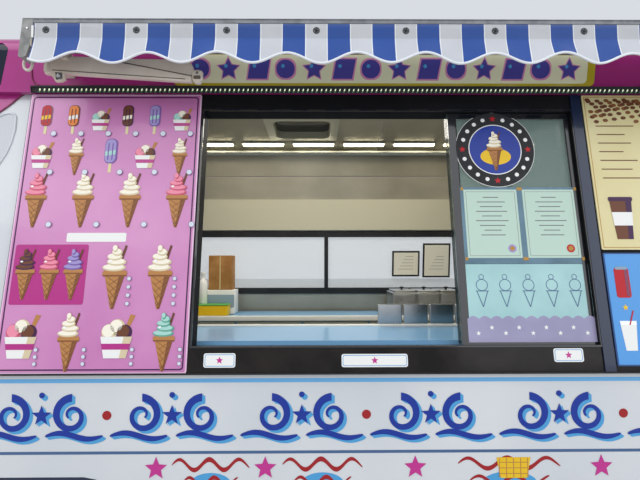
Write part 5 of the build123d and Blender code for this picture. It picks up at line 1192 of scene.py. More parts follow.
CONE_C = []
for i, x in enumerate((-1.400, 2.640)):
    C = Batch("roof_cone_%d" % (i + 1), "van", "roof_cones")
    FC = Matrix.Translation((x, 0, 0))
    # waffle body with crossed ridges
    n, rows = 64, 30
    vs, fs = [], []
    for r_i in range(rows + 1):
        t = r_i / rows
        z = 2.556 + (2.768 - 2.556) * t
        rr = 0.0865 + (0.1430 - 0.0865) * t
        for k in range(n):
            a = 2 * math.pi * k / n
            g1 = abs(math.sin((a * 8 + t * 9.0)))
            g2 = abs(math.sin((a * 8 - t * 9.0)))
            ridge = 0.0035 * (1 if min(g1, g2) < 0.30 else 0)
            vs.append((x + (rr + ridge) * math.cos(a), (rr + ridge) * math.sin(a), z))
    for r_i in range(rows):
        for k in range(n):
            k2 = (k + 1) % n
            fs.append((r_i * n + k, r_i * n + k2, (r_i + 1) * n + k2, (r_i + 1) * n + k))
    fs.append(tuple(reversed(range(n))))
    C.raw(vs, fs, "waffle", True)
    C.lathe(FC, [(0.0, 2.500), (0.094, 2.500), (0.100, 2.530), (0.100, 2.556), (0.090, 2.560), (0.0, 2.560)], "steel", 48)
    C.lathe(FC, [(0.0, 2.764), (0.142, 2.764), (0.156, 2.771), (0.1585, 2.778), (0.1585, 2.812), (0.154, 2.8195), (0.130, 2.8205), (0.0, 2.8205)], "waffle", 64)
    # swirl
    turns, m = 3.2, 240
    pth, rad = [], []
    for k in range(m + 1):
        t = k / m
        a = 2 * math.pi * turns * t
        R = 0.090 * (1 - t) ** 0.9
        pth.append(Vector((x + R * math.cos(a), R * math.sin(a), 2.852 + 0.166 * t)))
        rad.append(0.050 * (1 - t) ** 0.55 + 0.010)
    ns = 16
    vs, fs = [], []
    for k, p in enumerate(pth):
        a = pth[max(0, k - 1)]
        b = pth[min(m, k + 1)]
        tdir = (b - a).normalized()
        side = tdir.cross(Vector((0, 0, 1))).normalized()
        up = side.cross(tdir).normalized()
        for q in range(ns):
            an = 2 * math.pi * q / ns
            rr = rad[k] * (1 + 0.10 * math.cos(4 * an + k * 0.12))
            vs.append(p + side * (rr * math.cos(an)) + up * (rr * 0.72 * math.sin(an)))
    for k in range(m):
        for q in range(ns):
            q2 = (q + 1) % ns
            fs.append((k * ns + q, (k + 1) * ns + q, (k + 1) * ns + q2, k * ns + q2))
    fs.append(tuple(range(ns)))
    fs.append(tuple(reversed(range(m * ns, (m + 1) * ns))))
    C.raw(vs, fs, "swirl", True)
    C.lathe(Matrix.Translation((x, 0, 0)), [(0.0, 2.818), (0.128, 2.818), (0.132, 2.850), (0.088, 2.915), (0.044, 2.985), (0, 3.020)], "swirl", 40)
    ob = C.done()
    if i == 0:
        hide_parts("roof_cones")

# ------------------------------------------------------------------ inside the shop, seen through the hatch
I = Batch("shop_fittings", "van", "counters")
# counter edges and lips
I.rbox(-0.382, 2.562, -0.603, -0.568, 1.2205, 1.2585, "counter_edge", 0.004)
I.box(-0.381, 2.561, -0.9555, -0.603, 1.2495, 1.2515, "counter")
I.rbox(-0.382, 2.562, 0.568, 0.590, 1.1205, 1.1565, "counter_edge", 0.004)
# lining above the off side window, cream box, white rail, strip lamps
I.prism(F_OFF, rect(-2.85, 0.72, 0.672, 0.918), -0.0545, -0.031, "inside_cream")
I.box(-0.66, 2.84, 0.700, 0.795, 2.3960, 2.4080, "counter_edge")
for x in (-0.22, 0.16, 0.54, 0.92, 1.30, 1.68, 2.06):
    I.rbox(x, x + 0.30, 0.600, 0.640, 2.4250, 2.4380, "lamp_glow", 0.006)
    I.rbox(x - 0.012, x + 0.312, 0.590, 0.650, 2.4360, 2.4440, "counter_edge", 0.006)
# low stainless unit with lift-off lids on the off side counter
I.rbox(1.275, 1.810, 0.620, 0.900, 1.152, 1.318, "steel", 0.012)
for k in range(3):
    a = 1.290 + k * 0.172
    I.rbox(a, a + 0.160, 0.632, 0.888, 1.318, 1.334, "steel", 0.010)
    I.lathe(Matrix.Translation((a + 0.080, 0.760, 1.333)), [(0.008, 0), (0.008, 0.010), (0.016, 0.016), (0.016, 0.022), (0, 0.025)], "black_matt", 16)
    I.rbox(a + 0.004, a + 0.156, 0.6165, 0.6205, 1.180, 1.306, "alu", 0.004)
# soft serve machine further back: stainless body, tap heads, levers, drip tray
x = 2.050
I.rbox(x, x + 0.560, 0.600, 0.900, 1.152, 1.700, "steel", 0.02)
I.rbox(x + 0.03, x + 0.53, 0.560, 0.603, 1.420, 1.620, "black_matt", 0.01)
for k in range(3):
    I.lathe(axes(x + 0.12 + k * 0.16, 0.548, 1.49, (1, 0, 0), (0, 0, 1), (0, -1, 0)), [(0.022, -0.02), (0.022, 0.02), (0.012, 0.03), (0, 0.031)], "steel", 20)
    I.tube([(x + 0.12 + k * 0.16, 0.53, 1.50), (x + 0.12 + k * 0.16, 0.50, 1.56)], 0.006, "black_matt", 8)
    I.lathe(axes(x + 0.12 + k * 0.16, 0.53, 1.425, (1, 0, 0), (0, 1, 0), (0, 0, 1)), [(0.010, 0), (0.018, 0.05), (0, 0.051)], "steel", 16)
I.rbox(x + 0.05, x + 0.51, 0.470, 0.598, 1.158, 1.180, "steel", 0.01)
# blank cartons and a bottle on the off side counter
I.rbox(-0.200, 0.055, 0.600, 0.715, 1.1535, 1.228, "yellow", 0.004)
I.rbox(-0.203, 0.058, 0.597, 0.718, 1.2280, 1.2360, "green", 0.003)
I.rbox(-0.170, 0.085, 0.730, 0.870, 1.1535, 1.335, "white_print", 0.004)
I.rbox(-0.165, 0.080, 0.727, 0.7305, 1.205, 1.300, "backing", 0.003)
I.rbox(-0.120, 0.060, 0.735, 0.865, 1.3355, 1.600, "kraft", 0.004)
I.rbox(-0.035, -0.028, 0.7335, 0.7355, 1.340, 1.596, "board_cream", 0.001)
I.lathe(Matrix.Translation((-0.150, 0.690, 1.2355)), [(0.030, 0), (0.034, 0.006), (0.034, 0.150), (0.028, 0.172), (0.013, 0.190), (0.013, 0.215), (0.016, 0.216), (0.016, 0.238), (0, 0.239)], "white_print", 24)
# stainless upright panels behind the counter at the right of the opening
for k in range(4):
    I.rbox(0.99 + k * 0.118, 1.100 + k * 0.118, -0.605, -0.592, 1.262, 1.352, "steel", 0.004)
# two framed papers on the off side lining
for k in range(2):
    a = -1.440 - k * 0.250
    I.prism(F_OFF, rect(a - 0.112, a + 0.112, 0.290 - 0.008 * k, 0.500 + 0.062 * k), -0.050, -0.044, "black_matt")
    I.prism(F_OFF, rect(a - 0.098, a + 0.098, 0.304 - 0.008 * k, 0.486 + 0.062 * k), -0.052, -0.050, "paper")
    for q in range(5):
        I.prism(F_OFF, rect(a - 0.060, a + 0.060 - 0.014 * q, 0.350 + 0.026 * q, 0.3525 + 0.026 * q), -0.0526, -0.052, "ink")
# cone stacks on the counter end
for k in range(3):
    for j in range(5):
        I.lathe(Matrix.Translation((2.20 + k * 0.075, -0.72, 1.262 + j * 0.035)), [(0.012, 0), (0.024, 0.11), (0.0, 0.112)], "waffle_print", 18)
# cupboard doors on the cabinet fronts
for s, ztop, yf in ((-1, 1.222, -0.600), (1, 1.122, 0.600)):
    for k in range(6):
        a0 = -0.36 + k * 0.487
        if s < 0:
            I.rbox(a0, a0 + 0.472, yf + 0.0005, yf + 0.014, 0.665, ztop - 0.012, "inside_cream", 0.004)
            I.rbox(a0 + 0.20, a0 + 0.27, yf + 0.014, yf + 0.026, ztop - 0.055, ztop - 0.040, "steel", 0.003)
        else:
            I.rbox(a0, a0 + 0.472, yf - 0.014, yf - 0.0005, 0.665, ztop - 0.012, "inside_cream", 0.004)
            I.rbox(a0 + 0.20, a0 + 0.27, yf - 0.026, yf - 0.014, ztop - 0.055, ztop - 0.040, "steel", 0.003)
I.done(bevel=0.001)
# thin stainless lining on the inner faces of walls and ceiling
LN = Batch("shop_lining", "van", "offside_wall")
LN.prism(F_OFF, rect(-2.855, 0.715, 0.002, 1.0985), -0.0320, -0.0303, "inside", holes=[rrect(-1.935, 0.335, 0.140, 0.667, 0.05, 8)])
LN.prism(F_WALL, rect(-0.70, 0.255, 0.1, 1.0985), -0.0320, -0.0303, "inside")
LN.prism(F_WALL, rect(1.735, 2.85, 0.1, 1.0985), -0.0320, -0.0303, "inside")
LN.prism(F_WALL, rect(0.255, 1.735, 1.0125, 1.0985), -0.0320, -0.0303, "inside")
# panels over the cant rails, then the ceiling strips either side of the vent
prof = [(-0.8375, 2.2380), (-0.80, 2.4157), (-0.30, 2.502), (-0.15, 2.525), (0.0, 2.532), (0.102, 2.5272), (0.15, 2.525), (0.30, 2.502),
        (0.558, 2.4575), (0.80, 2.4157), (0.8375, 2.2380)]
for (ya, za), (yb, zb) in zip(prof, prof[1:]):
    L2 = math.hypot(yb - ya, zb - za)
    ny, nz = -(zb - za) / L2, (yb - ya) / L2
    FF = axes(0, ya, za, (1, 0, 0), (0, (yb - ya) / L2, (zb - za) / L2), (0, ny, nz))
    spans = [(-0.70, vx - 0.228), (vx + 0.228, 2.85)] if ya >= 0.102 and yb <= 0.558 else [(-0.70, 2.85)]
    for sa, sb in spans:
        LN.prism(FF, rect(sa, sb, 0.0, L2), -0.0030, -0.0010, "inside")
# ceiling joints: narrow cover strips
for xx in (-0.10, 1.18, 2.02):
    for (ya, za), (yb, zb) in ((prof[1], prof[2]), (prof[7], prof[9])):
        LN.tube([(xx, ya, za - 0.004), (xx, yb, zb - 0.004)], 0.004, "inside_cream", 6, flat=1.0)
LN.done()
VF = Batch("vent_inner_frame", "van", "roof_vent")
VF.prism(F_XY, rrect(vx - 0.245, vx + 0.245, vy - 0.268, vy + 0.262, 0.03), 2.4505, 2.4680, "inside_cream", holes=[rrect(vx - 0.190, vx + 0.190, vy - 0.190, vy + 0.190, 0.06, 6)])
VF.prism(F_XY, rrect(vx - 0.245, vx + 0.245, vy - 0.268, vy + 0.262, 0.03), 2.4680, 2.5060, "inside_cream", holes=[rrect(vx - 0.232, vx + 0.232, vy - 0.255, vy + 0.249, 0.03, 6)])
VF.prism(F_XY, rrect(vx - 0.194, vx + 0.194, vy - 0.194, vy + 0.194, 0.06, 6), 2.4640, 2.5060, "inside_cream", holes=[rrect(vx - 0.188, vx + 0.188, vy - 0.188, vy + 0.188, 0.055, 6)])
VF.prism(F_XY, rrect(vx - 0.186, vx + 0.186, vy - 0.186, vy + 0.186, 0.06, 6), 2.500, 2.506, "glass_dark")
VF.done(bevel=0.003)

# ------------------------------------------------------------------ cab: seals, handles, wipers, grille, lamps, mirrors
CT = math.radians(8.4)


def side_y(z):
    """outer skin of the cab side at height z (half width)"""
    return 1.000 if z <= 1.15 else 1.000 - TL * (z - 1.15)


for tag, s in (("left", -1), ("right", 1)):
    D = Batch("door_fittings_" + tag, "door_" + tag, "cab_door_" + tag)

    def SP(x, z, out=0.0):
        if z <= 1.15:
            return Vector((x, s * (1.0 + out), z))
        return Vector((x, s * (side_y(z) + out * CL), z + out * SL))
    # window rubber
    win = [(-0.872, 1.400), (-1.900, 1.400), (-1.452, 2.005), (-0.872, 2.005)]
    loop = []
    for i in range(4):
        a, b = win[i], win[(i + 1) % 4]
        for k in range(12):
            t = k / 12
            loop.append(SP(a[0] + (b[0] - a[0]) * t, a[1] + (b[1] - a[1]) * t, -0.010))
    D.tube(loop, 0.009, "rubber", 8, closed=True)
    # waist moulding and handle
    D.rbox(-1.577, -0.812, 0.585, 0.665, 0.0, 0.010, "plastic_dark", 0.02, axes(0, s * 1.0, 0, (1, 0, 0), (0, 0, 1), (0, s, 0)))
    FH = axes(0, s * (1.0 - 0.012), 0, (1, 0, 0), (0, 0, 1), (0, s, 0))
    D.prism(FH, rrect(-1.000, -0.830, 1.092, 1.148, 0.02), 0.0115, 0.0145, "black_matt")
    D.tube([Vector((-0.985, s * 1.013, 1.120)), Vector((-0.975, s * 1.034, 1.122)), Vector((-0.860, s * 1.036, 1.122)), Vector((-0.846, s * 1.013, 1.120))], 0.009, "plastic_dark", 10)
    D.lathe(axes(-0.842, s * 1.0145 - s * 0.012, 1.075, (1, 0, 0), (0, 0, 1), (0, s, 0)), [(0.012, 0.01), (0.012, 0.0145), (0.005, 0.0155), (0, 0.0156)], "steel", 18)
    # mirror glasses facing back, housing shell
    D.prism(axes(-1.9148, s * 1.1165, 1.500, (0, 1, 0), (0, 0, 1), (1, 0, 0)), rrect(-0.068, 0.068, -0.040, 0.140, 0.02), 0.0, 0.0035, "mirror")
    D.prism(axes(-1.9148, s * 1.1165, 1.500, (0, 1, 0), (0, 0, 1), (1, 0, 0)), rrect(-0.060, 0.060, -0.132, -0.058, 0.02), 0.0, 0.0035, "mirror")
    D.prism(axes(-2.0005, s * 1.1165, 1.500, (0, 1, 0), (0, 0, 1), (-1, 0, 0)), rrect(-0.060, 0.060, -0.12, 0.12, 0.03), 0.0, 0.004, "plastic_dark")
    D.done(bevel=0.001)

C = Batch("cab_fittings", "van", "cab_shell")
# windscreen rubber on the raked plane
A0, B0 = Vector((-2.200, 0, 1.380)), Vector((-1.655, 0, 2.120))
up = (B0 - A0).normalized()
nrm = Vector((-up.z, 0, up.x))
F_WS = axes(A0.x, 0, A0.z, (0, -1, 0), tuple(up), tuple(nrm))
wl = (B0 - A0).length
scr = [(-0.855, 0.055), (0.855, 0.055), (0.745, wl - 0.060), (-0.745, wl - 0.060)]
C.prism(F_WS, grow2(scr, 0.018), -0.002, 0.0055, "rubber", holes=[grow2(scr, -0.016)])
# wipers
for px, tip in ((0.46, (0.06, 0.52)), (-0.28, (-0.66, 0.50))):
    pa = F_WS @ Vector((px, 0.012, 0.024))
    pb = F_WS @ Vector((tip[0] + 0.08, tip[1] - 0.22, 0.026))
    pc = F_WS @ Vector((tip[0], tip[1] - 0.12, 0.018))
    C.tube([pa, pb, pc], 0.007, "black_matt", 8)
    C.tube([F_WS @ Vector((tip[0] + 0.12, tip[1] - 0.44, 0.010)), F_WS @ Vector((tip[0] - 0.07, tip[1] + 0.05, 0.010))], 0.006, "rubber", 8)
    C.lathe(F_WS @ Matrix.Translation((px, 0.012, 0.004)), [(0.022, 0), (0.020, 0.02), (0.012, 0.028), (0, 0.03)], "black_matt", 20)
# cowl grille under the glass
for i in range(9):
    yy = -0.60 + i * 0.15
    C.rbox(yy - 0.06, yy + 0.06, -0.028, -0.016, -0.004, 0.004, "black_matt", 0.004, F_WS)


def nose_x(y, z):
    """front of the cab skin at (y, z): side profile and plan arc, whichever is further back"""
    if z <= 0.90:
        xs = -2.840 - 0.025 * (z - 0.45) / 0.45
    elif z <= 1.09:
        xs = -2.865 + 0.075 * (z - 0.90) / 0.19
    else:
        xs = -2.790 + 0.590 * (z - 1.09) / 0.29
    yy = abs(y)
    R = (0.640 ** 2 + 0.045 ** 2) / (2 * 0.045)
    xp = -2.880 + R - math.sqrt(max(0, R * R - yy * yy))
    return max(xs, xp)


# grille: dark recess panel and slats between the headlamps
n = 36
for z0, z1, out, key in [(0.792, 1.000, 0.004, "black_matt")] + [(0.806 + k * 0.030, 0.820 + k * 0.030, 0.015, "plastic_dark") for k in range(6)]:
    vs, fs = [], []
    for i in range(n + 1):
        y = -0.540 + 1.080 * i / n
        for (zz, oo) in ((z0, 0.0), (z0 + 0.002, out), (z1 - 0.002, out), (z1, 0.0)):
            vs.append((nose_x(y, zz) - oo, y, zz))
    for i in range(n):
        for k in range(3):
            fs.append((i * 4 + k, i * 4 + k + 1, (i + 1) * 4 + k + 1, (i + 1) * 4 + k))
        fs.append((i * 4 + 3, i * 4, (i + 1) * 4, (i + 1) * 4 + 3))
    fs.append((0, 1, 2, 3))
    fs.append((n * 4 + 3, n * 4 + 2, n * 4 + 1, n * 4))
    C.raw(vs, [tuple(reversed(f)) for f in fs], key, False)
# number plate, blank
F_PL = axes(-2.9250, 0, 0, (0, -1, 0), (0, 0, 1), (-1, 0, 0))
C.prism(F_PL, rrect(-0.272, 0.272, 0.574, 0.702, 0.01), -0.012, 0.0022, "plastic_dark")
C.prism(F_PL, rrect(-0.260, 0.260, 0.582, 0.693, 0.008), 0.0022, 0.0042, "plate_white")
# side repeaters, arch lips
for s in (-1, 1):
    C.rbox(-2.36, -2.30, 0.905, 0.935, 0.0, 0.012, "lens_amber", 0.01, axes(0, s * 1.0, 0, (1, 0, 0), (0, 0, 1), (0, s, 0)))
    arc = []
    for k in range(41):
        a = math.pi * (0.075 + 0.85 * k / 40)
        xx, zz = AXF + 0.452 * math.cos(a), TR + 0.452 * math.sin(a)
        if -2.46 < xx < -1.60:
            arc.append(Vector((xx, s * 1.000, zz)))
    C.tube(arc, 0.010, "plastic_dark", 8)
    arc = [Vector((AXR + 0.416 * math.cos(a), s * 1.0305, TR + 0.416 * math.sin(a))) for a in [math.pi * k / 40 for k in range(0, 41)]]
    C.tube(arc, 0.009, "plastic_dark", 8)
C.done(bevel=0.001)

# headlamps: bowl, bulb, indicator behind the clear lens; tail lamps in colour
H = Batch("headlamp_insides", "van", "lamps")
for s in (-1, 1):
    for (yc, zc, r) in ((0.660, 0.900, 0.062), (0.790, 0.905, 0.052)):
        xf = nose_x(yc, zc) + (0.040 if yc < 0.7 else 0.055)
        FB = axes(xf, s * yc, zc, (0, 1, 0), (0, 0, 1), (-1, 0, 0))
        H.lathe(FB, [(r, 0.0), (r * 0.9, -0.006), (r * 0.55, -0.022), (0.012, -0.028), (0.012, -0.010), (0.008, 0.0), (0, 0.002)], "chrome", 32)
        H.lathe(FB, [(r + 0.006, -0.004), (r + 0.006, 0.003), (r, 0.003), (r, -0.004)], "chrome", 32, closed=True)
    H.rbox(-0.03, 0.03, -0.055, 0.055, -0.01, 0.012, "lens_amber", 0.01, axes(-2.655, s * 0.905, 0.905, (0, 1, 0), (0, 0, 1), (-1, 0, 0)))
H.done()
T = Batch("tail_lamps", "van", "lamps")
for s in (-1, 1):
    FT = axes(BX1 + 0.0222, s * 0.850, 0.640, (0, 1, 0), (0, 0, 1), (1, 0, 0))
    T.prism(FT, rrect(-0.0505, 0.0505, -0.001, 0.401, 0.010), -0.0225, 0.0006, "black_matt")
    for z0, z1, key in ((0.010, 0.130, "lens_red"), (0.135, 0.200, "lens_white"), (0.205, 0.285, "lens_amber"), (0.290, 0.390, "lens_red")):
        rr = rrect(-0.042, 0.042, z0, z1, 0.008)
        T.rings(FT, [(rr, 0.0004), (rr, 0.005), (grow2(rr, -0.006), 0.008)], key)
T.done()

# ------------------------------------------------------------------ rear: door rubber, handle, plate, livery
Rr = Batch("rear_fittings", "van", "rear_panel")
Rr.prism(F_REAR, rrect(-0.262, 0.262, 0.530, 0.640, 0.006), 0.0, 0.006, "plastic_dark")
Rr.prism(F_REAR, rrect(-0.255, 0.255, 0.536, 0.634, 0.006), 0.006, 0.0085, "plate_yellow")
for s in (-1, 1):
    # pink boards either side of the door
    a0, a1 = sorted((s * 0.43, s * 0.80))
    Rr.prism(F_REAR, rrect(a0, a1, 1.19, 1.98, 0.02), 0.0, 0.004, "pink_edge")
    Rr.prism(F_REAR, rrect(a0 + 0.014, a1 - 0.014, 1.204, 1.966, 0.014), 0.004, 0.0046, "pink")
    cone_icon(Rr, F_REAR, (a0 + a1) / 2, 1.62, 0.46, "ice" if s > 0 else "strawberry", k=0.0046)
    for i in range(3):
        Rr.prism(F_REAR, star(a0 + 0.085 + i * 0.10, 1.90, 0.024), 0.0046, 0.0056, ["star", "yellow", "star"][i])
    b0, b1 = sorted((s * 0.375, s * 1.02))
    Rr.prism(F_REAR, rect(b0, b1, 1.1165, 1.1275), 0.0, 0.0006, "blue_light")
    Rr.prism(F_REAR, rect(b0, b1, 1.060, 1.070), 0.0, 0.0006, "blue_slate")
for s in (-1, 1):
    Rr.tube([(BX1 + 0.004, s * 0.372, 0.65), (BX1 + 0.004, s * 0.372, 1.995)], 0.005, "rubber", 8)
Rr.tube([(BX1 + 0.004, -0.372, 1.997), (BX1 + 0.004, 0.372, 1.997)], 0.005, "rubber", 8)
# high stop lamp and two marker lamps
Rr.rbox(-0.14, 0.14, 2.06, 2.085, 0.0, 0.012, "lens_red", 0.008, F_REAR)
for s in (-1, 1):
    Rr.rbox(s * 0.72 - 0.03, s * 0.72 + 0.03, 2.08, 2.105, 0.0, 0.012, "lens_red", 0.008, F_REAR)
# step treads on the rear bumper
for i in range(7):
    Rr.box(2.874 + i * 0.0068, 2.877 + i * 0.0068, -0.98, 0.98, 0.5195, 0.5225, "black_matt")
Rr.done(bevel=0.0008)
RD = Batch("rear_door_fittings", "back_door", "rear_door")
RD.prism(F_REAR, rrect(-0.268, 0.268, 1.362, 1.868, 0.05, 8), 0.0, 0.006, "rubber", holes=[rrect(-0.236, 0.236, 1.394, 1.836, 0.035, 8)])
RD.prism(F_REAR, rrect(-0.338, -0.272, 1.135, 1.305, 0.012), 0.0, 0.003, "black_matt")
RD.prism(F_REAR, rrect(-0.30, 0.30, 0.74, 1.05, 0.02), 0.0, 0.0035, "white", holes=[rrect(-0.288, 0.288, 0.752, 1.038, 0.014)])
RD.prism(F_REAR, star(0, 0.895, 0.085), 0.0, 0.0008, "star")
RD.prism(F_REAR, star(0, 0.895, 0.045), 0.0008, 0.0012, "white_print")
RD.prism(F_REAR, rect(-0.358, 0.358, 1.1165, 1.1275), 0.0, 0.0006, "blue_light")
RD.prism(F_REAR, rect(-0.358, 0.358, 1.060, 1.070), 0.0, 0.0006, "blue_slate")
RD.done(bevel=0.0008)

# ------------------------------------------------------------------ underside: exhaust
E = Batch("exhaust_pipe", "van", "chassis_frame")
E.tube([(-2.30, 0.345, 0.60), (-2.20, 0.36, 0.42), (-2.0, 0.33, 0.36), (-1.4, 0.33, 0.35), (-1.15, 0.33, 0.35)], 0.030, "iron", 14)
E.lathe(axes(-1.15, 0.33, 0.352, (0, 1, 0), (0, 0, 1), (1, 0, 0)), [(0.03, 0), (0.095, 0.02), (0.10, 0.04), (0.10, 0.50), (0.095, 0.52), (0.03, 0.54)], "steel", 32)
E.tube([(-0.62, 0.33, 0.352), (0.3, 0.33, 0.352), (1.1, 0.33, 0.352), (1.30, 0.33, 0.34), (1.45, 0.33, 0.255), (1.75, 0.33, 0.255), (1.95, 0.33, 0.34), (2.5, 0.33, 0.36), (2.80, 0.33, 0.345)], 0.028, "iron", 14)
E.done()

# ------------------------------------------------------------------ cab inside: seats, steering wheel, dials
def dense(pts, n=5):
    out = []
    for i in range(len(pts)):
        a, b = pts[i], pts[(i + 1) % len(pts)]
        for k in range(n):
            out.append((a[0] + (b[0] - a[0]) * k / n, a[1] + (b[1] - a[1]) * k / n))
    return out


def seat_pad(name, pts, yc, half, crown, cap):
    """padded block from a side outline (x, z): cloth blown up from the slack shape, movement capped, one subdivision"""
    ny, m = 20, len(pts)
    cxm = sum(p[0] for p in pts) / m
    czm = sum(p[1] for p in pts) / m
    vs, fs = [], []
    for j in range(ny + 1):
        t = -1 + 2 * j / ny
        q0 = 1 - 0.16 * abs(t) ** 7
        for x, z in pts:
            vs.append((cxm + (x - cxm) * q0, yc + half * t, czm + (z - czm) * q0))
    for j in range(ny):
        for k in range(m):
            k2 = (k + 1) % m
            fs.append((j * m + k, (j + 1) * m + k, (j + 1) * m + k2, j * m + k2))
    fs.append(tuple(range(m)))
    fs.append(tuple(reversed(range(ny * m, (ny + 1) * m))))
    me = bpy.data.meshes.new(name)
    me.from_pydata([tuple(v) for v in vs], [], fs)
    me.update()
    ob = bpy.data.objects.new(name, me)
    bpy.context.scene.collection.objects.link(ob)
    bpy.context.view_layer.update()

    def baked(o):
        dg = bpy.context.evaluated_depsgraph_get()
        out = bpy.data.meshes.new_from_object(o.evaluated_get(dg))
        o.modifiers.clear()
        o.data = out
        return out
    md = ob.modifiers.new("remesh", "REMESH")
    md.mode, md.voxel_size = "VOXEL", 0.0090
    baked(ob)
    start = [v.co.copy() for v in ob.data.vertices]
    cl = ob.modifiers.new("cloth", "CLOTH")
    cl.settings.quality = 5
    cl.settings.use_pressure = True
    cl.settings.uniform_pressure_force = 4.0
    cl.settings.effector_weights.gravity = 0.0
    cl.settings.tension_stiffness = 18
    cl.settings.compression_stiffness = 18
    cl.settings.bending_stiffness = 0.6
    cl.collision_settings.use_collision = False
    cl.collision_settings.use_self_collision = False
    cl.point_cache.frame_start, cl.point_cache.frame_end = 1, 20
    for f in range(1, 21):
        bpy.context.scene.frame_set(f)
        bpy.context.view_layer.update()
    baked(ob)
    bpy.context.scene.frame_set(1)
    # cap on how far a point may move
    me = ob.data
    if len(me.vertices) == len(start):
        for v, a in zip(me.vertices, start):
            d = v.co - a
            L4 = d.length
            if L4 > cap:
                v.co = a + d * (cap / L4)
    me.polygons.foreach_set("use_smooth", [True] * len(me.polygons))
    sub = ob.modifiers.new("sub", "SUBSURF")
    sub.levels = sub.render_levels = 1
    baked(ob)
    ob.data.polygons.foreach_set("use_smooth", [True] * len(ob.data.polygons))
    ob.data.materials.clear()
    ob.data.materials.append(M["seat"])
    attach(ob, "van")
    return ob


PADS = (("cushion", dense([(-1.443, 0.874), (-0.998, 0.874), (-0.996, 0.984), (-1.418, 0.981)], 8), 0.232, 0.016, 0.016),
        ("backrest", dense([(-0.975, 0.925), (-0.885, 0.920), (-0.822, 1.455), (-0.850, 1.474), (-0.890, 1.464), (-0.985, 1.020)], 8), 0.230, 0.016, 0.015),
        ("headrest", dense([(-0.876, 1.520), (-0.800, 1.515), (-0.794, 1.658), (-0.850, 1.660)], 6), 0.115, 0.010, 0.012))
for part, pts, half, cr, cap in PADS:
    ob = seat_pad("seat_%s_left" % part, pts, -0.480, half, cr, cap)
    # the right seat has the same pads
    cp = bpy.data.objects.new("seat_%s_right" % part, ob.data.copy())
    for v in cp.data.vertices:
        v.co.y += 0.960
    bpy.context.scene.collection.objects.link(cp)
    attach(cp, "van")
for tag, s in (("left", -1), ("right", 1)):
    yc = s * 0.480
    SB = Batch("seat_base_" + tag, "van", "cab_seats")
    SB.rbox(-1.395, -0.965, yc - 0.195, yc + 0.195, 0.626, 0.868, "plastic_dark", 0.02)
    for d in (-0.06, 0.06):
        SB.tube([(-0.850, yc + d, 1.44), (-0.838, yc + d, 1.56)], 0.007, "chrome", 10)
    # seam piping along the cushion and back edges
    for side in (-0.150, 0.150):
        SB.tube([(-1.410, yc + side, 0.9955), (-1.20, yc + side, 0.9975), (-1.01, yc + side, 0.9965)], 0.003, "black_matt", 6)
    SB.tube([(-0.86, yc + s * 0.252, 1.55), (-0.95, yc + s * 0.262, 1.05), (-1.02, yc + s * 0.262, 0.90)], 0.006, "black_matt", 8)
    sb = SB.done()
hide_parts("cab_seats")

SW = Batch("steering_wheel_rim", "van", "steering_wheel")
zd = Vector((math.cos(math.radians(28)), 0, math.sin(math.radians(28))))
xd = Vector((0, 1, 0))
yd = zd.cross(xd)
F_SW = axes(-1.560, 0.430, 1.215, tuple(xd), tuple(yd), tuple(zd))
rim = [F_SW @ Vector((0.190 * math.cos(2 * math.pi * i / 48), 0.190 * math.sin(2 * math.pi * i / 48), 0)) for i in range(48)]
SW.tube(rim, 0.0145, "black_matt", 12, closed=True)
for a in (math.radians(200), math.radians(-20), math.radians(90)):
    SW.tube([F_SW @ Vector((0.05 * math.cos(a), 0.05 * math.sin(a), -0.008)), F_SW @ Vector((0.185 * math.cos(a), 0.185 * math.sin(a), 0))], 0.014, "plastic_dark", 10, flat=0.5)
SW.lathe(F_SW, [(0.02, -0.16), (0.028, -0.15), (0.030, -0.04), (0.060, -0.02), (0.072, -0.008), (0.070, 0.006), (0.045, 0.014), (0, 0.016)], "dash", 36)
sw = SW.done()
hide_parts("steering_wheel")

DS = Batch("dash_details", "van", "dashboard")
FD = axes(-1.7005, 0, 1.235, (0, 1, 0), (0.0, 0, 1), (1, 0, 0))
pa, pb = Vector((-1.700, 0, 1.240)), Vector((-1.790, 0, 1.330))
ud = (pb - pa).normalized()
nd = Vector((ud.z, 0, -ud.x))
F_DT = axes(pa.x, 0, pa.z, (0, 1, 0), tuple(ud), tuple(nd))
for yy in (0.34, 0.52):
    DS.lathe(F_DT @ Matrix.Translation((yy, 0.062, 0)), [(0.056, 0.001), (0.058, 0.006), (0.052, 0.008), (0.050, 0.002), (0, 0.002)], "black_matt", 36)
    DS.lathe(F_DT @ Matrix.Translation((yy, 0.062, 0.002)), [(0.047, 0), (0.047, 0.001), (0, 0.0012)], "white_print", 36)
    DS.prism(F_DT, rect(yy - 0.0015, yy + 0.0015, 0.062, 0.098), 0.0034, 0.004, "red")
F_DF = axes(-1.7305, 0, 1.030, (0, 1, 0), (0.03 / 0.212, 0, 0.21 / 0.212), (0.21 / 0.212, 0, -0.03 / 0.212))
DS.prism(F_DF, rrect(-0.11, 0.11, 0.10, 0.19, 0.01), 0.0, 0.004, "black_gloss")
for yy in (-0.80, -0.22, 0.20, 0.80):
    DS.prism(F_DF, rrect(yy - 0.06, yy + 0.06, 0.125, 0.185, 0.01), 0.0, 0.003, "black_matt")
    for k in range(4):
        DS.prism(F_DF, rect(yy - 0.052, yy + 0.052, 0.132 + k * 0.013, 0.136 + k * 0.013), 0.003, 0.006, "plastic_dark")
DS.prism(F_DF, rrect(-0.74, -0.30, 0.02, 0.105, 0.012), 0.0, 0.003, "dash")
DS.tube([(-1.735, 0.02, 1.05), (-1.66, 0.03, 1.085), (-1.64, 0.03, 1.13)], 0.007, "steel", 8)
DS.ball((-1.64, 0.03, 1.15), 0.026, "black_matt")
DS.done(bevel=0.001)

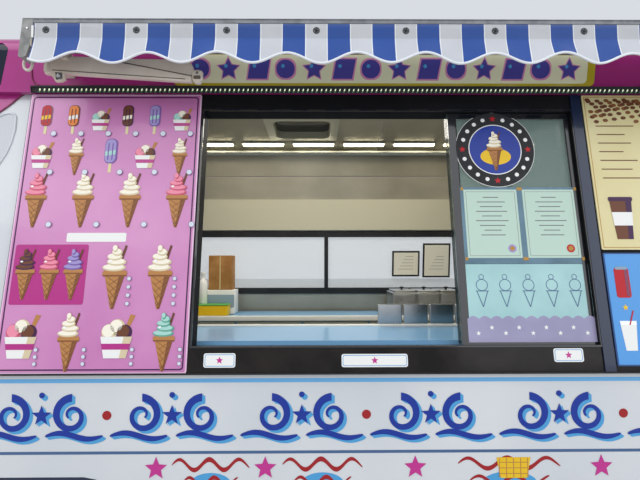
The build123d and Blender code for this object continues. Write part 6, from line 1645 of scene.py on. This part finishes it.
# ------------------------------------------------------------------ stage: floor, light, camera
sc = bpy.context.scene
world = bpy.data.worlds.new("studio")
sc.world = world
world.use_nodes = True
bg = world.node_tree.nodes["Background"]
bg.inputs["Color"].default_value = (0.86, 0.90, 0.96, 1)
bg.inputs["Strength"].default_value = 0.80

me = bpy.data.meshes.new("floor")
S = 40
me.from_pydata([(-S, -S, 0), (S, -S, 0), (S, S, 0), (-S, S, 0)], [], [(0, 1, 2, 3)])
fl = bpy.data.objects.new("floor", me)
sc.collection.objects.link(fl)
me.materials.append(pr("floor_pale", (0.62, 0.62, 0.61), 0.85))


def area(name, loc, target, size, power, color=(1, 1, 1)):
    ld = bpy.data.lights.new(name, "AREA")
    ld.shape = "RECTANGLE"
    ld.size, ld.size_y = size
    ld.energy = power
    ld.color = color
    o = bpy.data.objects.new(name, ld)
    o.location = loc
    o.rotation_euler = (Vector(target) - Vector(loc)).to_track_quat("-Z", "Y").to_euler()
    sc.collection.objects.link(o)
    return o


area("key", (-4.5, -7.0, 7.5), (0.3, 0, 1.2), (8.5, 7.0), 335, (1.0, 0.98, 0.95))
area("fill", (6.5, -6.0, 4.6), (0.3, 0, 1.2), (9.0, 6.5), 175, (0.95, 0.97, 1.0))
area("back", (1.0, 5.8, 9.0), (0.3, 0, 1.2), (9.0, 5.0), 360)
shop = area("shop_light", (0.75, 0.0, 2.38), (0.75, 0.05, 0.0), (2.2, 0.6), 22, (1.0, 0.95, 0.85))

cam = bpy.data.cameras.new("camera")
cam.sensor_width = 36.0
cam.lens = 24.0
co = bpy.data.objects.new("camera", cam)
sc.collection.objects.link(co)
pitch, yaw, roll = math.radians(3.11), math.radians(0.49), math.radians(-0.10)
fw = Vector((math.sin(yaw) * math.cos(pitch), math.cos(yaw) * math.cos(pitch), math.sin(pitch)))
rt = Vector((math.cos(yaw), -math.sin(yaw), 0))
u0 = rt.cross(fw)
r2 = rt * math.cos(roll) + u0 * math.sin(roll)
u2 = -rt * math.sin(roll) + u0 * math.cos(roll)
mw = Matrix.Identity(4)
for i in range(3):
    mw[i][0], mw[i][1], mw[i][2] = r2[i], u2[i], -fw[i]
    mw[i][3] = (0.7095, -2.5619, 1.5392)[i]
co.matrix_world = mw
cam.clip_start, cam.clip_end = 0.02, 200
sc.camera = co
sc.view_settings.view_transform = "Standard"
sc.view_settings.look = "None"
sc.view_settings.exposure = 0.0
